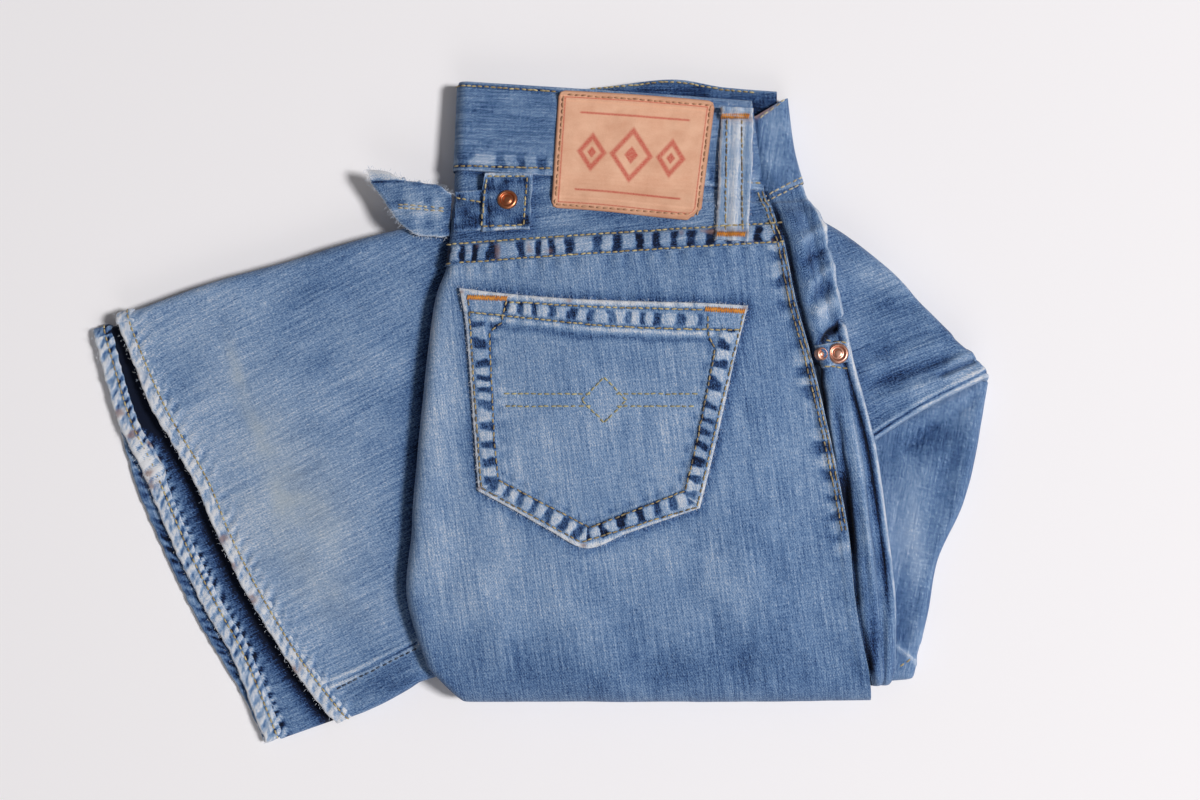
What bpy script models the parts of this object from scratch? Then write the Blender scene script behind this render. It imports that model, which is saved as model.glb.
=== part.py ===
"""Bootcut jeans, folded in half lengthwise, then twice across, lying on their left back.

The seat lies on top with its back pocket up. Below it the thighs run to the bottom fold, the lower legs come
back over them from the knee fold on the right, and both hems lie on the left. Cloth that shows is a wall of its
own. The layers inside each stretch share one solid with a flat underside.

Lengths are in millimetres and become metres where a mesh is made. +X is the seat's right, +Y the waist, +Z up,
and z = 0 is the surface that the jeans lie on.
"""

import math

import bmesh
import bpy
import mathutils
import numpy as np

MM = 0.001

# Driving sizes.
CLOTH = 1.5  # one denim layer as it lies, with its nap and slack
BAND = 3.0  # a waistband, two layers and their facing
HEM = 3.0  # a turned hem, three layers
HEM_WIDTH = 8.0
HEM_DROP = 0.3  # a hem's edge lies this much lower than its seam
HEM_ROWS = 16
HEM_ENDS = (0.02, 0.98)  # a hem strip's shares down the leg's opening
GAP = 0.3  # between pieces that touch
UNDER = 2.1  # from a panel's outer face down to the layers inside
LIFT = 1.5  # how far a skirt of cloth ends above the surface
FRONT_UNDER = 4.2  # the same where the front rolls
KNEE_UNDER = 2.8
BAND_UNDER = 5.0
ROLL_CLEARANCE = 1.5  # how much further in the layers stay where cloth rolls round them
POCKET_HEM_DEPTH = 13.0
POCKET_HEM_THICKNESS = 2.6
LEATHER = 1.8
STRAP = 2.6  # two layers of the cinch strap
LOOP_WIDTH = 16.0
LOOP_THICKNESS = 3.0
BUTTON_RADIUS = 5.0

# How far each folded edge rolls out past the flat of its panel.
LEFT_ROLL = 6.0
LIP_ROLL = 5.0
KNEE_ROLL = 9.0
KNEE_SEAM_ROLL = 4.0
THIGH_ROLL = 7.0
SHIN_ROLL = 6.0

ROLL_STEPS = 4
FOLD_STEPS = 6
ROLL_END = math.radians(-60)  # a rolled edge turns from straight up to here
LEAST_ROLL = 1.5  # a rolled edge goes down at least this far
LEAST_SQUARENESS = 0.4  # how much an edge's reach may slant before its inset stops growing

# The seat in sections from the waist down to the bottom fold: the left fold, the outseam and the lip where the
# front turns under, then the levels of the cloth on them, and how far down the cloth goes at its two sides.
SEAT_COLUMNS = (
    "left_x", "left_y", "seam_x", "seam_y", "lip_x", "lip_y",
    "left_z", "mid_z", "seam_z", "lip_z", "left_base", "lip_base",
)  # fmt: skip
SEAT_SECTIONS = (
    (-41.5, 166.4, 106.0, 156.4, 124.5, 159.3, 17.5, 19.0, 17.0, 15.5, 1.5, 1.5),  # top of the waistband
    (-43.2, 122.1, 111.7, 111.6, 132.2, 114.8, 20.5, 23.0, 21.5, 19.0, 1.5, 1.5),  # waistband seam
    (-43.4, 107.0, 114.7, 104.0, 136.6, 105.0, 23.6, 26.3, 24.5, 23.0, 1.5, 1.5),
    (-43.7, 100.4, 116.3, 98.9, 139.2, 100.2, 26.2, 28.2, 26.4, 27.0, 19.6, 19.5),  # top edge of the legs below
    (-44.5, 88.0, 118.5, 91.5, 142.0, 91.2, 28.6, 31.2, 29.0, 28.6, 19.8, 22.6),
    (-46.1, 73.2, 120.9, 84.1, 143.8, 83.5, 31.0, 34.2, 31.0, 30.2, 19.8, 22.6),  # yoke seam
    (-51.6, 56.2, 126.4, 56.2, 149.5, 55.0, 32.5, 36.4, 31.0, 30.8, 19.8, 22.6),
    (-55.5, 26.7, 134.2, 27.6, 155.5, 26.0, 33.0, 37.0, 30.6, 30.8, 19.8, 22.6),
    (-59.9, -14.6, 144.0, -14.6, 166.6, -15.5, 33.0, 37.0, 30.2, 30.8, 19.8, 22.6),
    (-63.3, -56.9, 152.3, -56.9, 173.3, -58.0, 33.0, 36.2, 30.0, 29.4, 19.6, 12.8),
    (-66.0, -86.0, 155.4, -87.4, 177.0, -89.0, 32.2, 35.0, 30.0, 29.0, 19.2, 12.6),
    (-62.8, -104.0, 158.0, -103.8, 177.4, -105.0, 31.0, 34.0, 29.2, 28.2, 18.6, 12.6),
    (-56.0, -126.0, 162.8, -126.0, 177.3, -126.0, 28.0, 31.6, 27.4, 26.4, 17.4, 12.6),
)
WAIST, BAND_SEAM, YOKE_SEAM, SEAT_END = 0, 1, 5, 12
CROWN_LEFT, CROWN_RIGHT = 0.42, 0.7  # shares across the back between which it is at its highest
CORE_START = 0.72  # the inner layers start this far down the waistband
# Where the bottom fold reaches to, from the left of the back to the outseam, and from there to the lip.
BACK_FOLD = ((-35.0, -144.5), (165.4, -143.6))
FRONT_FOLD = ((165.8, -136.0), (172.0, -136.0))

# The front between outseam and lip rises in a roll, then dips beside the lip.
FRONT_RELIEF_COLUMNS = ("across", "rise")
FRONT_RELIEF = (
    (0.0, 0.0), (0.3, 2.6), (0.55, 2.2), (0.8, -1.2), (1.0, 0.0),
)  # fmt: skip
FRONT_RELIEF_ROWS = 3  # sections below the waistband seam over which it grows

# The front of the waistband beside the belt loop: its inner and outer ends, from the top edge down.
FRONT_BAND_COLUMNS = ("in_x", "in_y", "out_x", "out_y", "in_z", "out_z")
FRONT_BAND_SECTIONS = (
    (107.8, 148.8, 124.5, 159.0, 17.4, 15.8),
    (111.9, 130.1, 127.6, 133.6, 20.0, 17.4),
    (117.9, 110.8, 132.3, 116.0, 22.0, 19.2),
)

FRONT_BAND_SLANT = 2.4  # the seam below it drops this far towards the outseam

# The three waistbands below the top one, each a strip with its top edge along these points.
LOWER_BAND_COLUMNS = ("x", "front_right", "front_left", "back_left")
LOWER_BAND_EDGES = (
    (-33.0, 160.5, 161.5, 163.5),
    (0.0, 161.5, 161.0, 162.5),
    (30.0, 164.5, 160.0, 161.5),
    (66.0, 168.5, 159.0, 160.5),
    (92.0, 164.6, 158.0, 158.0),
    (119.0, 162.4, 156.5, 156.0),
)
LOWER_BAND_LEVELS = {"front_right": 12.2, "front_left": 7.5, "back_left": 2.8}
LOWER_BAND_THICKNESS = 2.8

# The knee fold: the lower legs turn under along its edge, and end in a seam above the thighs.
KNEE_COLUMNS = ("fold_x", "fold_y", "seam_x", "seam_y")
KNEE_SECTIONS = (
    (137.0, 99.4, 164.4, -16.0),
    (153.7, 89.8, 178.5, -6.5),
    (175.6, 72.3, 192.0, 1.8),
    (191.6, 55.4, 205.0, 8.8),
    (208.0, 38.9, 216.0, 14.2),
    (216.8, 31.2, 222.6, 17.6),
)
KNEE_TIP = ((219.5, 27.5), (224.6, 19.6))
KNEE_LEVEL = 22.5
KNEE_DROP = 1.5  # lower at the tip
KNEE_END = 0.93  # the share along the fold where the tip's roll starts
MOST_KNEE_ROLL = 0.32  # of the way from fold to seam, where the two come close
MOST_KNEE_SEAM_ROLL = 0.25
THIGH_COLUMNS = ("in_y", "out_x", "out_y")
THIGH_SECTIONS = (
    (-15.0, 226.6, 15.8),
    (-35.0, 221.0, -15.7),
    (-60.0, 213.9, -45.4),
    (-88.0, 200.8, -74.0),
    (-108.0, 196.2, -100.0),
    (-124.0, 190.6, -122.0),
)
THIGH_FOLD = ((177.4, -135.2), (184.6, -134.6))
THIGH_LEVEL = 12.0

# The right leg's stretch on the left, which lies on top: its top and lower edges from hem to seat, then its hem
# from the top edge down.
LEG_TOP = ((-213.0, 48.3), (-200.9, 53.1), (-163.6, 66.5), (-124.9, 77.0), (-99.3, 84.9), (-70.2, 92.8))
LEG_LOW = ((-103.7, -154.3), (-97.3, -153.5), (-81.1, -146.8), (-68.0, -139.8))
LEG_HEM = (
    (-213.0, 48.3), (-208.4, 35.1), (-193.4, 0.5), (-172.9, -34.6), (-161.4, -62.1),
    (-145.8, -92.7), (-125.3, -126.2), (-103.7, -154.3),
)  # fmt: skip
LEG_TOP_AT_SEAT = 98.4
LEG_LOW_AT_SEAT = (-60.6, -135.0)
RIGHT_LEG_HEM_LEVEL = 16.5
RIGHT_LEG_SEAT_LEVEL = 19.2
RIGHT_LEG_RISE_END = 0.95  # the share from hem to seat where it reaches the seat's level
RIGHT_LEG_LOW_DROP = 1.6
RIGHT_LEG_LOW_START = 0.6  # the share down from the top edge where the drop starts
RIGHT_LEG_LOW_GROWTH = 0.33  # and the share from hem to seat over which it grows
RIGHT_LEG_BASE = 8.8
RIGHT_LOWER_HEM_LEVEL = 10.6

# The left leg's hem below it, from the top edge down, and its lower layer's hem, which shows past it.
LEFT_HEM_COLUMNS = ("upper_x", "upper_y", "lower_x", "lower_y")
LEFT_HEM_SECTIONS = (
    (-226.6, 39.4, -226.2, 38.8),
    (-221.5, 21.2, -221.4, 20.0),
    (-212.9, -6.7, -213.0, -10.0),
    (-201.8, -28.9, -206.0, -36.0),
    (-184.1, -70.9, -193.6, -66.0),
    (-167.9, -102.3, -176.6, -101.0),
    (-154.7, -127.1, -159.0, -130.5),
    (-138.4, -167.3, -141.0, -165.0),
)
LEFT_LEG_LEVEL = 7.0
LEFT_HEM_LEVEL = 8.0
LEFT_LEG_BASE = 1.2
# Below the right leg's fold the left leg's fold bulges out: share of the height, and how far out.
UNDER_FOLD = ((0.82, 0.0), (0.6, 2.4), (0.3, 2.6))

# What is sewn on the seat.
POCKET_TOP = ((-38.9, 61.8), (-15.1, 58.8), (16.1, 56.2), (50.8, 54.9), (79.5, 54.2), (102.3, 53.1))
POCKET_LEFT = ((-38.9, 61.8), (-36.0, 46.0), (-33.6, 20.0), (-31.6, -8.0), (-29.4, -37.5))
POCKET_RIGHT = ((102.3, 53.1), (95.8, 28.0), (90.0, 2.0), (84.4, -22.0), (78.6, -45.6))
POCKET_LOW = (
    (-29.4, -37.5), (-12.7, -46.3), (4.6, -56.1), (23.4, -65.2), (43.0, -58.0), (62.3, -51.2), (78.6, -45.6),
)  # fmt: skip
PATCH_CORNERS = ((9.6, 161.0), (87.2, 155.4), (79.2, 95.8), (6.0, 102.2))
LOOP_ENDS = ((98.2, 152.0), (94.6, 85.6))
CINCH_TAB = ((-26.4, 119.7), (-3.3, 119.3), (-5.1, 91.4), (-28.2, 90.4))
CINCH_STRAP = ((-38.6, 109.8), (-26.9, 111.6), (-27.8, 91.6), (-39.0, 90.6))
BUTTON_PLACE = (-15.7, 105.8)
STRAP_END_COLUMNS = ("top_x", "top_y", "low_x", "low_y", "level")
STRAP_END_SECTIONS = (
    (-86.0, 122.4, -84.6, 115.6, 15.4),
    (-77.0, 121.0, -78.6, 107.4, 17.4),
    (-67.4, 116.6, -72.0, 97.6, 19.6),
    (-58.4, 115.2, -63.4, 90.2, 21.0),
    (-50.4, 113.6, -54.6, 88.0, 21.6),
    (-43.7, 109.4, -44.9, 88.2, 21.9),
)
RIVET_BAR = ((135.6, 33.6), (151.2, 36.4), (152.8, 26.2), (139.4, 22.8))
RIVET_BAR_LEVEL = 33.7
RIVETS = ((147.0, 29.8, 5.1), (138.4, 29.4, 3.1))  # x, y and radius; the second one is half under the seam
RIVET_HEIGHT = 1.8
BUTTON_HEIGHT = 1.6
STUD_SIDES = 20
# Shares of a stud's radius and of its height, from the middle out to the foot of its rim.
STUD_PROFILE = (
    (0.0, 0.75), (0.3, 0.7), (0.45, 0.45), (0.62, 0.45), (0.75, 1.0), (0.92, 0.85), (1.0, 0.45), (1.0, 0.0),
)  # fmt: skip

DENIM = (0.17, 0.26, 0.41, 1.0)
DENIM_DARK = (0.11, 0.17, 0.29, 1.0)
DENIM_PALE = (0.28, 0.36, 0.49, 1.0)
TAN = (0.70, 0.42, 0.27, 1.0)
COPPER = (0.60, 0.30, 0.19, 1.0)


def table(columns, rows):
    """A table's rows as one array for each named column."""
    return dict(zip(columns, np.array(rows, float).T))


def smooth(values, at):
    """The Catmull-Rom curve through values, which lie at 0, 1, 2 and so on."""
    values = np.asarray(values, float)
    at = np.asarray(at, float)
    last = len(values) - 1
    low = np.clip(np.floor(at).astype(int), 0, last - 1)
    part = at - low
    before, here, there, after = (values[np.clip(low + step, 0, last)] for step in (-1, 0, 1, 2))
    return here + 0.5 * part * (
        there - before
        + part * (2 * before - 5 * here + 4 * there - after + part * (3 * (here - there) + after - before))
    )


def straight(values, at):
    """The polyline through values, which lie at 0, 1, 2 and so on."""
    return np.interp(at, np.arange(len(values)), values)


def path(points, share):
    """Points along a smooth curve through the given ones, at shares of its length from 0 to 1."""
    points = np.array(points, float)
    steps = np.linalg.norm(np.diff(points, axis=0), axis=1)
    at = np.interp(share, np.concatenate([[0], np.cumsum(steps)]) / steps.sum(), np.arange(len(points)))
    return np.stack([smooth(points[:, 0], at), smooth(points[:, 1], at)], axis=-1)


def ease(value):
    """0 below 0, 1 above 1, and a smooth step between."""
    value = np.clip(value, 0, 1)
    return value * value * (3 - 2 * value)


def coons(top, low, left, right, u, v):
    """Plan points of the patch that four edge curves bound, u from left to right and v from top to low."""
    u, v = u[..., None], v[..., None]
    across, down = u[..., 0], v[..., 0]
    edges = path(top, across) * (1 - v) + path(low, across) * v
    edges += path(left, down) * (1 - u) + path(right, down) * u
    first, last = np.array(top[0]), np.array(top[-1])
    low_first, low_last = np.array(low[0]), np.array(low[-1])
    corners = (first * (1 - u) + last * u) * (1 - v) + (low_first * (1 - u) + low_last * u) * v
    return edges - corners


# --- Cloth faces with rolled edges ---


def turned(values, side):
    """The grid turned so that the given side is its first column."""
    if side == "right":
        return values[:, ::-1]
    if side == "start":
        return values.swapaxes(0, 1)
    if side == "end":
        return values[::-1].swapaxes(0, 1)
    return values


def turned_back(values, side):
    """The grid as it was before turned()."""
    if side == "right":
        return values[:, ::-1]
    if side == "start":
        return values.swapaxes(0, 1)
    if side == "end":
        return values.swapaxes(0, 1)[::-1]
    return values


def padded(values, before, total):
    """Values for the rows of the flat face, repeated for the rows that earlier rolls added on either side."""
    values = np.asarray(values, float)
    after = total - before - len(values)
    return np.concatenate([values[:1]] * before + [values] + [values[-1:]] * after)


def rolled(face, rolls, under=0.0):
    """The face with rolled edges added, lowered and drawn in by under.

    Each roll is (side, outline, base, steps). Its edge turns out to the outline and under towards the base, as
    an ellipse from straight up to ROLL_END: out = reach cos(angle), up = (1 + sin(angle)) / 2 of the height.
    Towards a corner's rim the two rolls blend into a plain rounding.
    """
    surface = face - np.array([0.0, 0.0, 1.0]) * np.asarray(under)[..., None]
    plan = face[..., :2]
    added = {"rows": 0, "columns": 0}
    for side, outline, base, steps in rolls:
        along = "columns" if side in ("start", "end") else "rows"
        surface, plan = turned(surface, side), turned(plan, side)
        edge, flat = surface[:, 0], plan[:, 0]
        count = len(edge)
        inner = turned(face, side)[:, 0]
        before = added[along]
        depth = turned(np.broadcast_to(under, face.shape[:2]), side)[:, 0]
        depth = padded(depth, before, count)
        reach = padded(np.asarray(outline, float) - inner[:, :2], before, count)
        length = np.linalg.norm(reach, axis=1)
        along_edge = np.gradient(flat, axis=0)
        squareness = np.abs(reach[:, 0] * along_edge[:, 1] - reach[:, 1] * along_edge[:, 0])
        squareness /= length * np.maximum(np.linalg.norm(along_edge, axis=1), 1e-6)
        slant = np.where(depth > 0, depth + ROLL_CLEARANCE, 0) / np.maximum(squareness, LEAST_SQUARENESS)
        free = length - slant
        reach = reach * (np.where(np.abs(free) < GAP, -GAP, free) / length)[:, None]
        base = padded(np.broadcast_to(np.asarray(base, float), len(inner)), before, count) + depth
        base = np.minimum(base, edge[:, 2] - LEAST_ROLL)
        columns, plans = [], []
        for angle in np.linspace(ROLL_END, math.pi / 2, steps + 1)[:-1]:
            share = (math.pi / 2 - angle) / (math.pi / 2 - ROLL_END)
            xy = edge[:, :2] * (1 - share) + flat * share + reach * math.cos(angle)
            z = base + (edge[:, 2] - base) * (1 + math.sin(angle)) / 2
            columns.append(np.column_stack([xy, z]))
            plans.append(flat + reach * math.cos(ROLL_END) * share)
        surface = np.concatenate([np.stack(columns, axis=1), surface], axis=1)
        plan = np.concatenate([np.stack(plans, axis=1), plan], axis=1)
        surface, plan = turned_back(surface, side), turned_back(plan, side)
        if side == "left":
            added["columns"] = steps
        if side == "start":
            added["rows"] = steps
    return surface


def grid_faces(rows, columns):
    """The quads of a grid numbered row by row. They face up where rows run down and columns to the right."""
    corner = (np.arange(rows - 1)[:, None] * columns + np.arange(columns - 1)).ravel()
    return np.stack([corner, corner + columns, corner + columns + 1, corner + 1], axis=1).tolist()


def new_object(name, vertices, faces, material):
    mesh = bpy.data.meshes.new(name)
    mesh.from_pydata((np.asarray(vertices) * MM).tolist(), [], faces)
    mesh.materials.append(material)
    mesh.shade_smooth()
    obj = bpy.data.objects.new(name, mesh)
    COLLECTION.objects.link(obj)
    return obj


def cloth(name, surface, thickness, material, outward=False):
    """A wall whose outer face is the surface, or which stands on it where outward is set."""
    rows, columns = surface.shape[:2]
    obj = new_object(name, surface.reshape(-1, 3), grid_faces(rows, columns), material)
    wall = obj.modifiers.new("Wall", "SOLIDIFY")
    wall.thickness = thickness * MM
    wall.offset = 1 if outward else -1
    return obj


def side_numbers(rows, columns):
    """The grid's rim in order, as one list of vertex numbers for each side, corners in both of their sides."""
    return {
        "start": list(range(columns)),
        "right": [row * columns + columns - 1 for row in range(rows)],
        "end": [(rows - 1) * columns + column for column in reversed(range(columns))],
        "left": [row * columns for row in reversed(range(rows))],
    }


# The sides before and after each one, in the order of side_numbers.
NEIGHBOURS = {
    "start": ("left", "right"),
    "right": ("start", "end"),
    "end": ("right", "left"),
    "left": ("end", "start"),
}


def layers(name, surface, rolls, material, levels=()):
    """A solid under the surface, with a flat underside at z = 0.

    rolls gives the steps of each side that is rolled. A side goes straight down from each point that isn't part
    of a neighbour's roll. levels holds (share of the height, how far out) for the edges of the layers between a
    rolled side's rim and the floor.
    """
    rows, columns = surface.shape[:2]
    vertices = surface.reshape(-1, 3).tolist()
    faces = grid_faces(rows, columns)
    sides = side_numbers(rows, columns)
    centre = surface[..., :2].mean(axis=(0, 1))
    chains = {}

    def chain_of(number, out=(0.0, 0.0), steps=()):
        if number not in chains:
            x, y, z = vertices[number]
            chain = [number]
            for share, distance in (*steps, (0.0, 0.0)):
                reach = distance * min(1.0, z / RIGHT_LEG_BASE)
                vertices.append([x + out[0] * reach, y + out[1] * reach, z * share])
                chain.append(len(vertices) - 1)
            chains[number] = chain
        return chains[number]

    posts = {}
    for side, (before, after) in NEIGHBOURS.items():
        last = len(sides[side]) - 1
        posts[side] = sorted({0, last, *range(rolls.get(before, 0), last - rolls.get(after, 0) + 1)})

    for side in rolls:
        line = np.array([vertices[number][:2] for number in sides[side]])
        along = np.gradient(line, axis=0)
        normal = np.column_stack([along[:, 1], -along[:, 0]])
        normal /= np.maximum(np.linalg.norm(normal, axis=1, keepdims=True), 1e-6)
        if ((line - centre) * normal).sum() < 0:
            normal = -normal
        for post in posts[side]:
            chain_of(sides[side][post], normal[post], levels)

    outline = []
    for side, numbers in sides.items():
        for here, there in zip(posts[side], posts[side][1:]):
            near, far = chain_of(numbers[here]), chain_of(numbers[there])
            outline.append((near[-1], far[-1]))
            if side in rolls and there == here + 1:
                for step in range(len(near) - 1):
                    faces.append([near[step], far[step], far[step + 1], near[step + 1]])
            else:
                faces.append(numbers[here : there + 1] + far[1:] + near[:0:-1])
    middle = np.mean([vertices[near] for near, far in outline], axis=0)
    vertices.append(middle.tolist())
    faces.extend([near, far, len(vertices) - 1] for near, far in outline)
    obj = new_object(name, vertices, faces, material)
    shape = bmesh.new()
    shape.from_mesh(obj.data)
    bmesh.ops.recalc_face_normals(shape, faces=shape.faces)
    if shape.calc_volume(signed=True) < 0:
        bmesh.ops.reverse_faces(shape, faces=shape.faces)
    shape.to_mesh(obj.data)
    shape.free()
    return obj


# --- The seat ---

SEAT = table(SEAT_COLUMNS, SEAT_SECTIONS)
RELIEF = table(FRONT_RELIEF_COLUMNS, FRONT_RELIEF)


def seat_level(section, across):
    """The back's level: up from the left fold to the crown, level across it, and down again to the outseam."""
    left, middle, seam = (smooth(SEAT[name], section) for name in ("left_z", "mid_z", "seam_z"))
    crown = left + (middle - left) * ease(across / CROWN_LEFT)
    return crown + (seam - crown) * ease((across - CROWN_RIGHT) / (1 - CROWN_RIGHT))


def back_face(sections, shares):
    """The back between the roll at the left fold and the outseam."""
    section, share = np.meshgrid(sections, shares, indexing="ij")
    left_x, left_y, seam_x, seam_y = (smooth(SEAT[name], section) for name in SEAT_COLUMNS[:4])
    start = LEFT_ROLL / (seam_x - left_x)
    across = start + (1 - start) * share
    x = left_x + (seam_x - left_x) * across
    y = left_y + (seam_y - left_y) * across
    return np.dstack([x, y, seat_level(section, across)])


def left_roll(sections):
    outline = np.column_stack([smooth(SEAT["left_x"], sections), smooth(SEAT["left_y"], sections)])
    return ("left", outline, straight(SEAT["left_base"], sections), ROLL_STEPS)


def front_face(sections, shares):
    """The front between the outseam and the roll of its lip."""
    section, share = np.meshgrid(sections, shares, indexing="ij")
    seam_x, seam_y, lip_x, lip_y = (smooth(SEAT[name], section) for name in SEAT_COLUMNS[2:6])
    end = 1 - LIP_ROLL / (lip_x - seam_x)
    across = end * share
    seam, lip = (smooth(SEAT[name], section) for name in ("seam_z", "lip_z"))
    rise = np.interp(share, RELIEF["across"], RELIEF["rise"])
    rise = rise * ease((section - BAND_SEAM) / FRONT_RELIEF_ROWS)
    return np.dstack([
        seam_x + (lip_x - seam_x) * across,
        seam_y + (lip_y - seam_y) * across,
        seam + (lip - seam) * share + rise,
    ])  # fmt: skip


def lip_roll(sections):
    outline = np.column_stack([smooth(SEAT["lip_x"], sections), smooth(SEAT["lip_y"], sections)])
    return ("right", outline, straight(SEAT["lip_base"], sections), ROLL_STEPS)


def fold_line(ends, face):
    """The bottom fold's reach below each column of a face's last row, between two ends."""
    first, last = np.array(ends, float)
    share = (face[-1, :, 0] - face[-1, 0, 0]) / (face[-1, -1, 0] - face[-1, 0, 0])
    return first + (last - first) * share[:, None]


def seat_height(x, y):
    """The level of the back's outer face below a plan point."""
    x, y = np.asarray(x, float), np.asarray(y, float)
    sections = np.linspace(WAIST, SEAT_END, 40 * SEAT_END + 1)
    left_x, left_y, seam_x, seam_y = (smooth(SEAT[name], sections) for name in SEAT_COLUMNS[:4])
    across = (x[..., None] - left_x) / (seam_x - left_x)
    row_y = left_y + (seam_y - left_y) * across
    section = np.empty(x.shape)
    for place in np.ndindex(x.shape):
        section[place] = np.interp(-y[place], -row_y[place], sections)
    left, seam = smooth(SEAT["left_x"], section), smooth(SEAT["seam_x"], section)
    return seat_level(section, (x - left) / (seam - left))


def parted(surface, start=0.0, end=0.0, left=0.0, right=0.0):
    """The surface with its rim drawn in, to leave half of a seam's gap on the named sides."""
    surface = surface.copy()
    surface[0, :, 1] -= start
    surface[-1, :, 1] += end
    surface[:, 0, 0] += left
    surface[:, -1, 0] -= right
    return surface


BACK_SHARES = np.array([0.0, 0.1, 0.2, 0.32, 0.46, 0.6, 0.7, 0.78, 0.86, 0.93, 1.0])
FRONT_SHARES = np.array([0.0, 0.3, 0.55, 0.8, 1.0])
BAND_ROWS = np.linspace(WAIST, BAND_SEAM, 4)
YOKE_ROWS = np.array([1.0, 1.5, 2.0, 2.5, 3.0, 4.0, 5.0])
LOWER_ROWS = np.linspace(YOKE_SEAM, SEAT_END, 13)
HALF = 2 * GAP / 3  # what each of two neighbours gives up at a seam
SEAM_PART = 1.5 * GAP  # and the front at the outseam, where its cloth turns steeply up


def build_seat():
    band = rolled(back_face(BAND_ROWS, BACK_SHARES), [left_roll(BAND_ROWS)])
    cloth("waistband_back", parted(band, end=HALF, right=HALF), BAND, MATERIALS["denim_dark"])

    yoke = rolled(back_face(YOKE_ROWS, BACK_SHARES), [left_roll(YOKE_ROWS)])
    cloth("yoke_right", parted(yoke, start=HALF, end=HALF, right=HALF), CLOTH, MATERIALS["denim"])

    face = back_face(LOWER_ROWS, BACK_SHARES)
    fold = ("end", fold_line(BACK_FOLD, face), LIFT, FOLD_STEPS)
    back = rolled(face, [left_roll(LOWER_ROWS), fold])
    cloth("back_right", parted(back, start=HALF, right=HALF), CLOTH, MATERIALS["denim"])

    rows = np.concatenate([YOKE_ROWS, LOWER_ROWS[1:]])
    face = front_face(rows, FRONT_SHARES)
    fold = ("end", fold_line(FRONT_FOLD, face), LIFT, FOLD_STEPS)
    front = rolled(face, [lip_roll(rows), fold])
    front[0, :, 1] -= np.linspace(FRONT_BAND_SLANT, 0, front.shape[1])
    cloth("front_right", parted(front, start=GAP, left=SEAM_PART), CLOTH, MATERIALS["denim"])

    rows = np.concatenate([[CORE_START, (CORE_START + BAND_SEAM) / 2], rows])
    back_part = back_face(rows, BACK_SHARES)
    front_part = front_face(rows, FRONT_SHARES)[:, 1:]
    face = np.concatenate([back_part, front_part], axis=1)
    depth = np.full(face.shape[:2], UNDER)
    depth[:, len(BACK_SHARES) - 1 :] = FRONT_UNDER
    depth[rows <= BAND_SEAM] = BAND_UNDER
    reach = np.concatenate([fold_line(BACK_FOLD, back_part), fold_line(FRONT_FOLD, front_part)])
    fold = ("end", reach, LIFT, FOLD_STEPS)
    inner = rolled(face, [left_roll(rows), lip_roll(rows), fold], depth)
    steps = {"left": ROLL_STEPS, "right": ROLL_STEPS, "end": FOLD_STEPS}
    layers("layers_seat", inner, steps, MATERIALS["denim_dark"])


def build_front_band():
    sections = table(FRONT_BAND_COLUMNS, FRONT_BAND_SECTIONS)
    rows = np.linspace(0, len(FRONT_BAND_SECTIONS) - 1, 6)
    row, share = np.meshgrid(rows, np.linspace(0, 1, 4), indexing="ij")
    in_x, in_y, out_x, out_y, in_z, out_z = (smooth(sections[name], row) for name in FRONT_BAND_COLUMNS)
    across = share * (1 - LIP_ROLL / (out_x - in_x))
    x = in_x + (out_x - in_x) * across
    y = in_y + (out_y - in_y) * across
    face = np.dstack([x, y, in_z + (out_z - in_z) * share])
    outline = np.column_stack([out_x[:, 0], out_y[:, 0]])
    surface = rolled(face, [("right", outline, LIFT, ROLL_STEPS)])
    cloth("waistband_front", surface, BAND, MATERIALS["denim_dark"])


def core_top(x):
    """Where the layers inside the seat start, at each x."""
    line_x, line_y = (
        [smooth(SEAT[edge + axis], CORE_START) for edge in ("left", "seam", "lip")] for axis in ("_x", "_y")
    )
    return np.interp(x, line_x, line_y)


def build_lower_bands():
    edges = table(LOWER_BAND_COLUMNS, LOWER_BAND_EDGES)
    at = np.linspace(0, len(LOWER_BAND_EDGES) - 1, 16)
    x = smooth(edges["x"], at)
    low = core_top(x) + GAP
    for name, level in LOWER_BAND_LEVELS.items():
        rows = [np.column_stack([x, y, np.full_like(x, level)]) for y in (smooth(edges[name], at), low)]
        cloth("waistband_under_" + name, np.stack(rows), LOWER_BAND_THICKNESS, MATERIALS["denim_dark"])


# --- The knee and the thigh on the right ---


def lip_wall(y):
    """Just right of the seat's inner layers, where what lies under the lip meets them."""
    wall = SEAT["lip_x"] - LIP_ROLL + (LIP_ROLL - UNDER) * math.cos(ROLL_END)
    return np.interp(-y, -SEAT["lip_y"], wall) + 3 * GAP


def left_wall(sections):
    """Just left of the seat's inner layers, where the legs under the left fold meet them."""
    wall = smooth(SEAT["left_x"], sections) + LEFT_ROLL - (LEFT_ROLL - UNDER) * math.cos(ROLL_END)
    return np.column_stack([wall - 3 * GAP, smooth(SEAT["left_y"], sections)])


def knee_face(columns, rows):
    """The lower legs' stretch beside the seat, from the knee fold to its seam, and those two edges."""
    sections = table(KNEE_COLUMNS, KNEE_SECTIONS)
    last = len(KNEE_SECTIONS) - 1
    down, across = np.meshgrid(rows, columns * last, indexing="ij")
    fold = np.dstack([smooth(sections["fold_x"], across), smooth(sections["fold_y"], across)])
    seam = np.dstack([smooth(sections["seam_x"], across), smooth(sections["seam_y"], across)])
    length = np.linalg.norm(seam - fold, axis=2)
    first = np.minimum(KNEE_ROLL / length, MOST_KNEE_ROLL)
    final = 1 - np.minimum(KNEE_SEAM_ROLL / length, MOST_KNEE_SEAM_ROLL)
    place = (first + (final - first) * down)[..., None]
    xy = fold * (1 - place) + seam * place
    level = KNEE_LEVEL - KNEE_DROP * (across / last) ** 2
    return np.dstack([xy, level]), fold[0], seam[0]


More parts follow.
